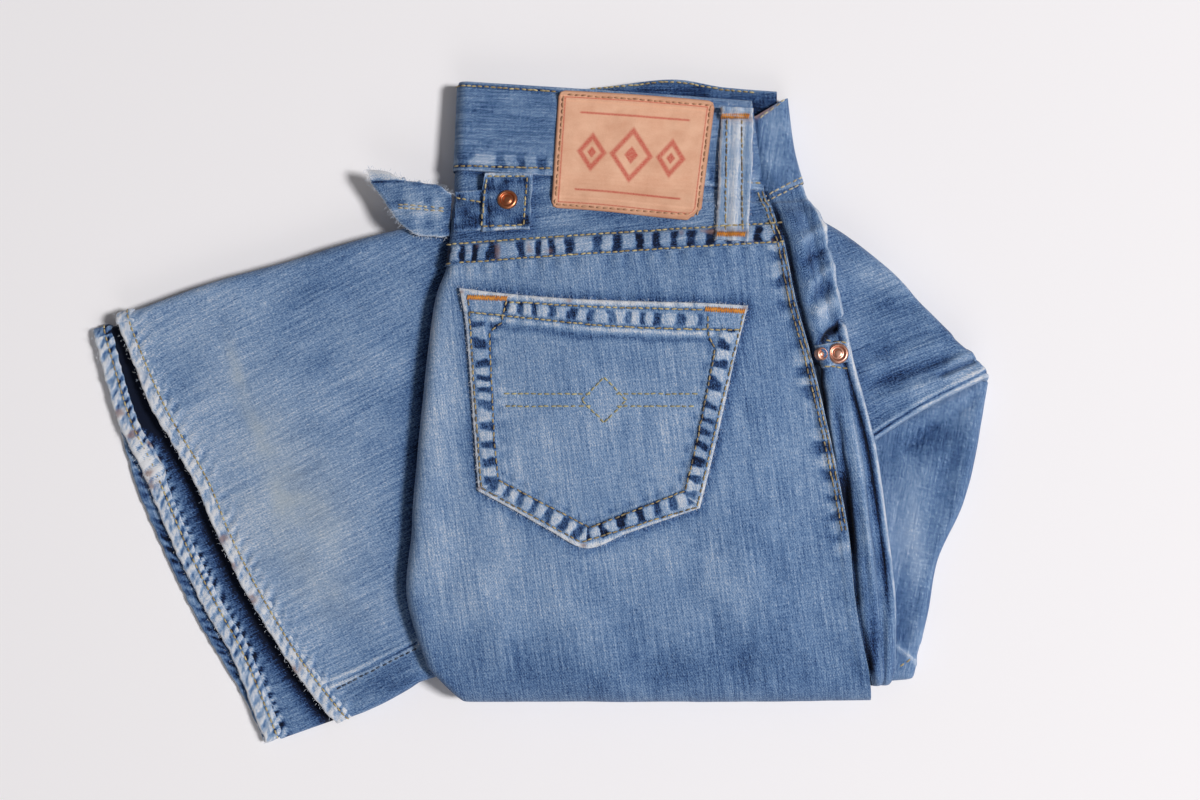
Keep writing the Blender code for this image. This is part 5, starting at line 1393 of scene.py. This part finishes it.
loopLook = {
    "grain": 86, "fadeAndShade": 0.62, "ends": ((98.2, 152.0), (94.6, 85.6)),
    "width": 16.0, "thickness": 2.2, "arch": 1.6,
}


def makeLoop(field):
    # a folded strip that arches between its two tacks, with a felled ridge along its middle
    look = loopLook
    top, low = np.array(look["ends"], float)
    v, u = cells(np.linspace(0, 1, 150), np.linspace(-1, 1, 52))
    length = np.linalg.norm(low - top)
    along = (low - top) / length
    side = np.array([-along[1], along[0]])
    half = look["width"] / 2 + 0.4 * waver(v * length, 9, 161, np.sign(u) * 30)
    half = half + 0.3 * waver(v * length, 2, 162, 7 + np.sign(u) * 20)
    xy = top + (low - top) * v[..., None] + side * (u * half + 0.9 * np.sin(v * 3.0))[..., None]
    x, y = xy[..., 0], xy[..., 1]
    across, edge = u * look["width"] / 2, (1 - np.abs(u)) * 8
    arch = look["arch"] * np.sin(np.pi * np.clip((v - 0.1) / 0.8, 0, 1))
    rise = look["thickness"] + arch + 0.55 * bell(across, 0, 1.7) - 0.25 * bell(np.abs(across), 3.3, 0.8)
    rise += 0.12 * lattice(x, y, 3.2, 163) - 0.5 * bell(edge, 0, 0.5)
    rise -= 0.7 * (bell(v, 0.93, 0.03) + bell(v, 0.085, 0.03))
    grid = np.dstack([x, y, settled(field, x, y, 6, 5, 3, 0.4) + rise])
    fadeAndShade = look["fadeAndShade"] + 0.16 * bell(across, 0, 2.2) + 0.16 * bell(edge, 0, 1.0)
    fadeAndShade += 0.08 * lattice(x, y, 5, 164) - 0.14 * bell(np.abs(across), 5.6, 1.4)
    rust = 0.5 * (bell(v, 0.94, 0.03) + bell(v, 0.07, 0.03))
    full, fadeAndShade, rust = withSkirt(grid, field, 0.3), padded(fadeAndShade), padded(rust)
    clothPiece("beltLoop", full, look["grain"], "denim_pale", ["belt_loop"], fadeAndShade, rust)
    return grid


tabLook = {  # upper row, then lower row
    "grain": 95, "fadeAndShade": 0.23, "stops": (0.0, 0.36, 0.38, 1.0),
    "strap": ((-42.0, 110.5), (-42.0, 90.0)), "neck": ((-28.6, 111.4), (-28.6, 91.2)),
    "tab": ((-27.2, 119.7), (-3.3, 119.3), (-28.4, 90.4), (-5.1, 91.4)),
}


def makeTab(field):
    # the strap from the left fold and the square tab that it ends in, in one piece:
    # its upper and lower edges are the strap's, then the tab's, joined by a short step
    look = tabLook
    v, u = cells(np.linspace(0, 1, 72), np.linspace(0, 1, 104))
    edges = []
    for row in range(2):
        points = np.array([look["strap"][row], look["neck"][row], *look["tab"][row * 2:row * 2 + 2]], float)
        edges.append(np.stack([np.interp(u[0], look["stops"], points[:, k]) for k in (0, 1)], axis=-1))
    xy = edges[0][None] * (1 - v[..., None]) + edges[1][None] * v[..., None]
    x, y = xy[..., 0], xy[..., 1]
    xy = xy + 0.45 * np.stack([lattice(x + y, y, 5, 175), lattice(x, x - y, 5, 176)], axis=-1)
    x, y = xy[..., 0], xy[..., 1]
    inTab = ease((x + 28.6) / 0.8)
    fromSides = (x + 28.2 + 0.06 * (y - 90), -3.4 - x + (119.5 - y) * 0.065, y - 90.6, 119.6 - y)
    rim = np.where(inTab > 0.5, np.maximum(0, np.minimum.reduce(fromSides)), 12)
    edge = np.minimum(v, 1 - v) * np.linalg.norm(edges[1] - edges[0], axis=1)[None]
    rise = 1.5 + 1.1 * inTab + inTab * bells(rim, ((0.4, 1.2, 1.1), (-0.35, 3.6, 1.2)))
    rise += 0.22 * lattice(x, y, 5, 171) + 0.1 * lattice(x, y, 2, 172) - 0.4 * bell(edge, 0, 0.5)
    grid = np.dstack([x, y, settled(field, x, y, 5, 3, 3, 0.3) + rise])
    fadeAndShade = look["fadeAndShade"] + 0.01 * inTab + 0.42 * bell(edge, 0, 1.1) * (0.7 + 0.5 * lattice(x, y, 3, 177))
    fadeAndShade += 0.24 * lattice(x, y, 4, 173) + inTab * (0.28 * bell(rim, 1.0, 1.0) + 0.25 * ease((x + 5.8) / 1.5))
    fadeAndShade -= 0.2 * inTab * bell(rim, 4.2, 1.3) * ease(lattice(x, y, 4, 174) + 0.6)
    full = withSkirt(grid, field, 0.3)
    clothPiece("cinchTab", full, look["grain"], "denim", ["cinch_tab"], padded(fadeAndShade))
    return grid


strapLook = {
    "grain": 8, "fadeAndShade": 0.5, "thickness": 2.2,
    "sections": (  # upper x, y, lower x, y, height
        (-86.0, 122.4, -84.6, 115.6, 15.4), (-77.0, 121.0, -78.6, 107.4, 17.4),
        (-67.4, 116.6, -72.0, 97.6, 19.6), (-58.4, 115.2, -63.4, 90.2, 21.0),
        (-50.4, 113.6, -54.6, 88.0, 21.6), (-43.7, 109.4, -44.9, 88.2, 21.9),
    ),
    "flipLine": ((-86.0, 116.6), (-66.0, 116.4), (-50.0, 114.0)),  # above it the strap is turned up
}


def makeStrapEnd():
    # the loose strap, its sections blended along it, with a groove at its seam and its tip turned up
    look = strapLook
    u, v = cells(np.linspace(0, 1, 96), np.linspace(0, 1, 54))
    topX, topY, lowX, lowY, level = (smooth(values, u * 5) for values in np.array(look["sections"]).T)
    x = topX + (lowX - topX) * v + 0.35 * lattice(u * 43, v * 2, 2.4, 181) * ease(1 - u * 14)
    y = topY + (lowY - topY) * v + 0.3 * waver(u * 43, 3, 182) * ease(np.abs(v - 0.5) * 8 - 3)
    edge = np.minimum(v, 1 - v) * np.hypot(topX - lowX, topY - lowY)
    flipOff = nearLine(x, y, look["flipLine"])[0]
    flipped = ease((flipOff + 0.3) / 0.6)
    z = level + 2.2 + 0.5 * np.sin(v * 3.1) + 0.35 * lattice(x, y, 7, 183) + 0.8 * ease((0.2 - u) / 0.2) * v
    z += 0.3 * bell(edge, 2.4, 1.2) - 0.3 * bell(edge, 0, 0.5) + 0.9 * flipped - 0.7 * bell(flipOff, 0, 0.9)
    z -= 0.5 * bell(y - 0.08 * (x + 60), 101.5, 0.9)
    grid = np.dstack([x, y, z])
    fadeAndShade = look["fadeAndShade"] + 0.36 * bell(edge, 0, 0.9) + 0.22 * lattice(x, y, 5, 184) + 0.3 * flipped
    fadeAndShade += 0.3 * np.exp(-u * 30) - 0.2 * ease((x + 52) / 8) - 0.35 * bell(flipOff, -0.6, 0.8)
    marks = {"flip": True, "thickness": look["thickness"], "fadeAndShade": fadeAndShade, "stain": 0.0, "rust": 0.0}
    uv, cloth = clothUv(grid, look["grain"]), cloths["denim"]
    obj = surface("cinchStrapEnd", grid, uv, cloth, "denim_pale", ["cinch_strap_end"], **marks)
    return grid


barLook = {
    "grain": 98, "fadeAndShade": 0.46, "thickness": 1.3, "size": (15, 11), "heights": (31.6, 34.0),
    "corners": ((135.6, 33.6), (151.2, 36.4), (152.8, 26.2), (139.4, 22.8)),
}


def makeBar(field):
    # the small strip that the rivets hold, nearly flat over the folds below
    look = barLook
    v, u = cells(np.linspace(0, 1, 36), np.linspace(0, 1, 48))
    xy = quad(look["corners"], u, v)
    x, y = xy[..., 0], xy[..., 1]
    wide, tall = look["size"]
    edge = np.minimum.reduce([u * wide, v * tall, (1 - u) * wide, (1 - v) * tall])
    base = np.clip(settled(field, x, y, 6, 2, 2, 99), *look["heights"])
    rise = look["thickness"] + 0.25 * lattice(x, y, 4, 191) - 0.4 * bell(edge, 0, 0.5)
    full = withSkirt(np.dstack([x, y, base + rise]), field, 0.2)
    fadeAndShade = look["fadeAndShade"] + 0.26 * bell(padded(edge), 0, 0.8)
    fadeAndShade += 0.12 * lattice(full[..., 0], full[..., 1], 4, 192)
    marks, uv = {"fadeAndShade": fadeAndShade, "stain": 0.0, "rust": 0.0}, clothUv(full, look["grain"])
    obj = surface("rivetBar", full, uv, cloths["denim"], "denim_pale", ["rivet_bar"], **marks)
    return full[2:-2, 2:-2]


studLook = {
    "profile": (  # share of radius, share of height
        (0.0, 0.75), (0.3, 0.7), (0.45, 0.45), (0.62, 0.45), (0.75, 1.0), (0.92, 0.85), (1.0, 0.45),
        (1.0, -0.5),
    ),
    "points": 40, "sides": 48,
    # name, node, place, where its height is taken, how deep it sinks, radius, height, lean, material
    "studs": (
        ("rivetUpper", "rivet_1", (147.0, 29.8), (147.0, 29.8), 0.1, 5.1, 1.8, (-0.05, 0.1), copper),
        ("rivetSide", "rivet_2", (138.4, 29.6), (138.4, 29.4), 0.3, 3.3, 1.8, (0.5, 0.1), copper),
        (
            "cinchButton", "cinch_button", (-15.7, 105.8), (-15.7, 105.8), 0.1, 5.0, 1.9, (-0.1, 0.25),
            darkCopper,
        ),
    ),
}


def makeStud(name, place, radius, height, lean, node, material):
    # a turned profile swept round its axis, closed at its middle and underneath
    count, sides = studLook["points"], studLook["sides"]
    profile = np.array(studLook["profile"])
    share, rise = (smooth(profile[:, k], np.linspace(0, len(profile) - 1, count)) for k in (0, 1))
    share[-1] = 1.0
    angle, ring = cells(np.linspace(0, 2 * math.pi, sides + 1)[:-1], np.arange(1, count))
    x, y, z = share[ring] * radius * np.cos(angle), share[ring] * radius * np.sin(angle), rise[ring] * height
    up = unit(np.array([*lean, 1.0]))
    right = unit(np.cross([0, 1.0, 0], up))
    grid = np.array(place) + x[..., None] * right + y[..., None] * np.cross(up, right) + z[..., None] * up
    points = np.concatenate([grid.reshape(-1, 3), [np.array(place) + rise[0] * height * up]])
    index = np.arange(sides * (count - 1)).reshape(sides, count - 1)
    after = np.roll(index, -1, axis=0)
    quads = np.stack([index[:, :-1], index[:, 1:], after[:, 1:], after[:, :-1]], axis=-1).reshape(-1, 4)
    tris = np.stack([np.full(sides, len(points) - 1), index[:, 0], after[:, 0]], axis=-1)
    obj = facesObject(name, points, quads.tolist() + tris.tolist() + [index[::-1, -1].tolist()], material)
    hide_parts(node)


def runOf(points, pitch, length, seed, wander=0.12):
    # ends of the stitches along a smooth line: one each pitch, straying a little to each side
    points = np.asarray(points, float)
    dense = path(points, np.linspace(0, 1, 400)) if len(points) > 2 else points
    steps = lengths(dense)
    count = max(int(steps[-1] / pitch), 1)
    rng = np.random.default_rng(seed)
    start = (np.arange(count) + 0.1) * steps[-1] / count + rng.uniform(-0.12, 0.12, count) * pitch
    end = start + length * rng.uniform(0.9, 1.08, count)
    first, last = (placeAt(dense, steps, at) for at in (start, end))
    return first + rng.normal(0, wander, first.shape), last + rng.normal(0, wander, last.shape)


def acrossOf(points, pitch, length, seed):
    # the crosswise stitches of a bar tack, close together along a line
    points = np.asarray(points, float)
    total = np.linalg.norm(points[-1] - points[0])
    count = int(total / pitch)
    rng = np.random.default_rng(seed)
    middle = points[0] + (points[-1] - points[0]) * ((np.arange(count) + 0.5) / count)[:, None]
    way = (points[-1] - points[0]) / total
    side = np.array([-way[1], way[0]]) * length / 2
    lean = way * pitch * 0.6 * np.where(np.arange(count) % 2, 1, -1)[:, None]
    middle = middle + rng.normal(0, 0.07, middle.shape)
    return middle - side + lean, middle + side - lean


def straightLines(points, pitch, length, seed):
    # runs along each straight stretch of a polyline, so that corners stay sharp
    parts = [runOf([a, b], pitch, length, seed + k) for k, (a, b) in enumerate(zip(points, points[1:]))]
    return tuple(np.concatenate([part[k] for part in parts]) for k in (0, 1))


def tubes(name, points, material, smoothShade):
    # many short tubes in one mesh: points by tube, ring and side, joined ring to ring, closed at both ends
    count, rings, sides = points.shape[:3]
    k, start = np.arange(sides), np.arange(rings - 1)[:, None] * sides
    a, b = (start + k).reshape(-1), (start + (k + 1) % sides).reshape(-1)
    first = np.arange(count)[:, None, None] * rings * sides
    quads = (np.stack([a, b, b + sides, a + sides], axis=-1) + first).reshape(-1, 4)
    caps = (np.stack([k[::-1], (rings - 1) * sides + k]) + first).reshape(-1, sides)
    facesObject(name, points.reshape(-1, 3), quads.tolist() + caps.tolist(), material, smoothShade)


def threadMesh(name, ends, material, radius=0.45, rise=0.34, sink=0.1, sides=6):
    # capsules: centre = first + (last - first) t, lifted rise sin(pi t) - sink, radius swelling to the middle
    first, last = ends
    share = np.array([0.0, 0.14, 0.5, 0.86, 1.0])
    swell = np.array([0.4, 0.88, 1.0, 0.88, 0.4]) * radius
    along = unit(last - first)
    side = unit(np.cross(np.broadcast_to([0, 0, 1.0], along.shape), along))
    up = np.cross(along, side)
    centre = first[:, None] + (last - first)[:, None] * share[None, :, None]
    centre = centre + np.array([0, 0, 1.0]) * (rise * np.sin(math.pi * share) - sink)[None, :, None]
    angle = np.arange(sides) * 2 * math.pi / sides
    turn = np.stack([np.cos(angle), np.sin(angle)])[:, None, None, :, None]
    ring = side[:, None, None] * turn[0] + up[:, None, None] * turn[1]
    tubes(name, centre[:, :, None] + ring * swell[None, :, None, None], material, True)


def laid(field, place, lift):  # places on the plan, lifted a little above the cloth
    return np.column_stack([place, heightAt(field, *place.T) + lift])


def onCloth(field, runs, lift=0.15):  # the first and last ends of the stitches in several runs
    return [laid(field, np.concatenate([run[k] for run in runs]), lift) for k in (0, 1)]


def offsetLine(points, distance):  # a polyline moved to its left
    points = np.array(points, float)
    way = unit(np.gradient(points, axis=0))
    return points + np.column_stack([-way[:, 1], way[:, 0]]) * distance


def hemStitches(name, hem, depth, material, pitch, length, seed):
    # stitches round a hem at a depth from its edge, on its outer face
    ring, into, normal = hem
    place = ring + into * depth
    steps = lengths(place)
    count = int(steps[-1] / pitch)
    rng = np.random.default_rng(seed)
    start = (np.arange(count) + 0.1) * steps[-1] / count + rng.uniform(-0.1, 0.1, count)
    ends = [placeAt(place + normal * 0.12, steps, at) for at in (start, start + length)]
    threadMesh(name, ends, material, radius=0.44)


def fibres(name, roots, outward, seed, longest, radius=0.1, per=2):
    # loose fibres: three short steps from a root, each turning a little, three sides round
    rng = np.random.default_rng(seed)
    roots, outward = np.repeat(roots, per, axis=0), np.repeat(outward, per, axis=0)
    count = len(roots)
    roots = roots + rng.normal(0, 0.5, roots.shape) * np.array([1, 1, 0.15])

    def swung(way, angle, rise):
        c, s = np.cos(angle), np.sin(angle)
        return np.column_stack([way[:, 0] * c - way[:, 1] * s, way[:, 0] * s + way[:, 1] * c, rise])

    way = swung(outward, rng.normal(0, 0.9, count), rng.normal(0.15, 0.25, count))
    length = longest * rng.uniform(0.25, 1.0, count) ** 2
    bend = rng.normal(0, 0.5, count)
    line = [roots]
    for _ in range(3):
        way = swung(way, bend, way[:, 2] * 0.6)
        line.append(line[-1] + way * (length / 3)[:, None])
    turn = np.arange(3) * 2 * math.pi / 3
    circle = np.stack([np.cos(turn), np.sin(turn) * 0.6, np.sin(turn)], axis=-1) * radius
    taper = np.array([1, 1, 0.8, 0.4])[None, :, None, None]
    tubes(name, np.stack(line, axis=1)[:, :, None] + circle[None, None] * taper, threads["white"], False)


def edgeFibres(name, points, field, step, seed, middle, longest, lift=0.4):
    # fibres along a polyline, pointing away from a middle point
    steps = lengths(points)
    place = placeAt(points, steps, np.arange(0, steps[-1], step))
    fibres(name, laid(field, place, lift), awayFrom(place, middle), seed, longest)


def awayFrom(place, middle):  # level directions of length 1
    return np.column_stack([unit(place[:, :2] - np.array(middle)), np.zeros(len(place))])


stitchLines = {
    "gold": (
        ((-43.3, 164.6), (8.6, 160.8)), ((-43.1, 123.8), (6.0, 122.2)), ((102.8, 115.3), (111.0, 114.8)),
        ((-26.4, 117.8), (-6.1, 117.8), (-7.6, 93.1), (-28.4, 92.6), (-26.4, 117.8)),
        ((-41.9, 107.7), (-28.5, 104.7)), ((179.3, -126.2), (184.8, -122.2)),
        ((141.0, 36.5), (151.8, 35.0)), ((140.0, 23.7), (152.8, 22.7)),
    ),
    "band": (
        ((111.8, 105.2), (132.7, 116.2)), ((110.8, 107.7), (131.7, 118.7)), ((123.0, 157.9), (109.0, 147.4)),
    ),
    "far": (((25.0, 163.6), (48.0, 165.4), (66.0, 167.0), (92.0, 163.2), (108.0, 161.6)),),
    "strap": (
        ((-71.0, 102.6), (-58.0, 101.6), (-47.0, 100.6)), ((-71.0, 104.4), (-58.0, 103.2), (-47.0, 102.2)),
    ),
    "tan": (((14.2, 159.0), (85.2, 153.6), (78.0, 98.0)), ((12.0, 158.4), (7.8, 103.9), (74.5, 98.4))),
    "tacks": (  # points, width
        (((90.4, 148.2), (104.3, 148.2)), 2.4), (((87.4, 88.5), (101.2, 88.5)), 2.6),
        (((-35.0, 57.3), (-15.4, 56.6)), 2.6), (((81.3, 51.4), (100.8, 50.4)), 2.6),
    ),
    "motif": (
        ((-17.0, 10.0), (12.0, 10.0), (26.0, 10.0)), ((-17.0, 4.0), (12.0, 4.0), (26.0, 4.0)),
        ((38.0, 10.0), (78.0, 10.0)), ((38.0, 4.0), (76.0, 4.0)),
        ((32.0, 18.0), (43.0, 7.0), (32.0, -4.0), (21.0, 7.0), (32.0, 18.0)),
    ),
    "leg": (((-102.6, -138.1), (-61.6, -117.1)),),
    "loop": (((93.2, 146.7), (91.7, 90.4)), ((100.6, 146.7), (100.1, 90.4))),
}

back, yoke, band, front = makeBack(), makeYoke(), makeBand(), makeFront()
frontBand, lowerBands = makeFrontBand(), makeLowerBands()
print("seat made")
knee, thigh, leg = makeKnee(), makeThigh(), makeLeg()
makeLeftLeg()
rightHem, leftHem = makeHem(hemLook["right"]), makeHem(hemLook["left"])
print("legs made")
pocket = makePocket(heightField([back, yoke, band, front]))
patch = makePatch(heightField([yoke, band]))
trimField = heightField([back, yoke, band, front, patch])
loop, tab, strapEnd = makeLoop(trimField), makeTab(trimField), makeStrapEnd()
bar = makeBar(heightField([front]))
everything = heightField([back, yoke, band, front, pocket, patch, loop, tab, bar])
for name, node, place, probe, sink, radius, height, lean, material in studLook["studs"]:
    level = float(heightAt(everything, *probe)) - sink
    makeStud(name, (*place, level), radius, height, lean, node, material)
print("trims made")

seamRuns = [
    runOf(offsetLine(shownSeam, -1.2), 3.0, 2.7, 1), runOf(offsetLine(shownSeam, -3.3), 3.0, 2.7, 2),
    straightLines(pocketLook["outer"], 3.1, 2.5, 5), straightLines(pocketLook["inner"], 3.1, 2.5, 20),
    *(straightLines(line, 2.9, 2.5, 60 + k) for k, line in enumerate(stitchLines["loop"])),
]
goldRuns = [
    runOf(offsetLine(yokeLine, 1.0), 3.1, 2.5, 3), runOf(offsetLine(yokeLine, 10.6), 3.1, 2.5, 4),
    runOf(pocketLook["hemUpper"], 3.1, 2.5, 40), runOf(pocketLook["hemLower"], 3.1, 2.5, 41),
    *(straightLines(line, 3.0, 2.4, (4 + k) * 7) for k, line in enumerate(stitchLines["gold"])),
]
tackRuns = [acrossOf(line, 0.5, wide, 400 + k) for k, (line, wide) in enumerate(stitchLines["tacks"])]
farRuns = [runOf(line, 3.0, 2.4, 270) for line in stitchLines["far"]]


def runsOf(names, pitch, length, seed):  # straight runs along every line of the named sets
    lines = [line for name in names for line in stitchLines[name]]
    return [straightLines(line, pitch, length, seed + k) for k, line in enumerate(lines)]


threadMesh("stitchesSeam", onCloth(everything, seamRuns), threads["seam"], radius=0.41)
threadMesh("stitchesGold", onCloth(everything, goldRuns), threads["gold"])
threadMesh("stitchesFar", onCloth(heightField(lowerBands[:1]), farRuns), threads["gold"])
bandField = heightField([front, frontBand, strapEnd])
threadMesh("stitchesPale", onCloth(bandField, runsOf(("band", "strap"), 3.0, 2.4, 280)), threads["pale"])
threadMesh("stitchesPatch", onCloth(everything, runsOf(("tan",), 3.2, 2.5, 300)), threads["tan"])
threadMesh("barTacks", onCloth(everything, tackRuns, 0.25), threads["orange"], radius=0.3, rise=0.35)
threadMesh("stitchesMotif", onCloth(everything, runsOf(("motif",), 3.1, 2.5, 500)), threads["motif"])
hemStitches("stitchesHemRight", rightHem, 6.5, threads["gold"], 3.1, 2.5, 601)
hemStitches("stitchesHemLeft", leftHem, 6.5, threads["gold"], 3.1, 2.5, 611)
legField = heightField([leg, knee, thigh])
threadMesh("stitchesLeg", onCloth(legField, runsOf(("leg",), 3.1, 2.4, 620)), threads["blue"])

edgeFibres("frayPocket", pocketOutline, everything, 1.6, 701, (33, 0), 2.0)
loopEdge = np.concatenate([loop[:, 0, :2], loop[::-1, -1, :2], loop[:1, 0, :2]])
edgeFibres("frayLoop", loopEdge, everything, 1.2, 702, (96, 119), 1.8)
strapEdge = np.concatenate([strapEnd[:, 0], strapEnd[-1:, 0], strapEnd[:, -1][::-1], strapEnd[0][::-1]])
fibres("frayStrap", strapEdge[::2], awayFrom(strapEdge, (-62, 105))[::2], 703, 2.8)
for name, (ring, into, _), seed in (("frayHemRight", rightHem, 704), ("frayHemLeft", leftHem, 705)):
    fibres(name, (ring + into * 0.2)[::3], -into[::3], seed, 1.8)
print("threads made")

for name in ("layers_seat", "layers_knee", "layers_thigh", "layers_legs"):
    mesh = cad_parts[name].data
    mesh.materials.clear()
    mesh.materials.append(hidden)

stageLook = {
    "floor": rgb(250, 248, 249), "fill": (1.0, 0.965, 0.965, 1.0), "fillStrength": 0.15,
    "lamps": (((3.3, -0.1, 4.84), 1.1, 275.0), ((0.5, -2.1, 1.8), 1.8, 10.0)),  # place, size, power
    "lampColour": (1.0, 0.99, 1.0),
    "camera": (0.030, 0.007, 0.900), "lens": 52.94, "sensor": 36.0,  # straight above, as in the photo
}


floorMesh = bpy.data.meshes.new("floor")
floorMesh.from_pydata([(-4, -4, 0), (4, -4, 0), (4, 4, 0), (-4, 4, 0)], [], [(0, 1, 2, 3)])
floorMesh.materials.append(plainMaterial("paleFloor", stageLook["floor"], 0.7))
sceneObject("floor", floorMesh)

world = bpy.data.worlds.new("studio")
world.use_nodes = True
sky = world.node_tree.nodes["Background"].inputs
sky[0].default_value, sky[1].default_value = stageLook["fill"], stageLook["fillStrength"]
bpy.context.scene.world = world
for place, size, power in stageLook["lamps"]:
    lamp = bpy.data.lights.new("softbox", "AREA")
    lamp.shape, lamp.size, lamp.energy, lamp.color = "DISK", size, power, stageLook["lampColour"]
    softbox = sceneObject("softbox", lamp)
    softbox.location = place
    softbox.rotation_euler = (-Vector(place)).to_track_quat("-Z", "Y").to_euler()

camera = bpy.data.cameras.new("camera")
camera.lens, camera.sensor_width = stageLook["lens"], stageLook["sensor"]
camera.clip_start, camera.clip_end = 0.05, 20
cameraObject = sceneObject("camera", camera)
cameraObject.location = stageLook["camera"]
bpy.context.scene.camera = cameraObject
bpy.context.scene.view_settings.view_transform = "Standard"
print("stage made")
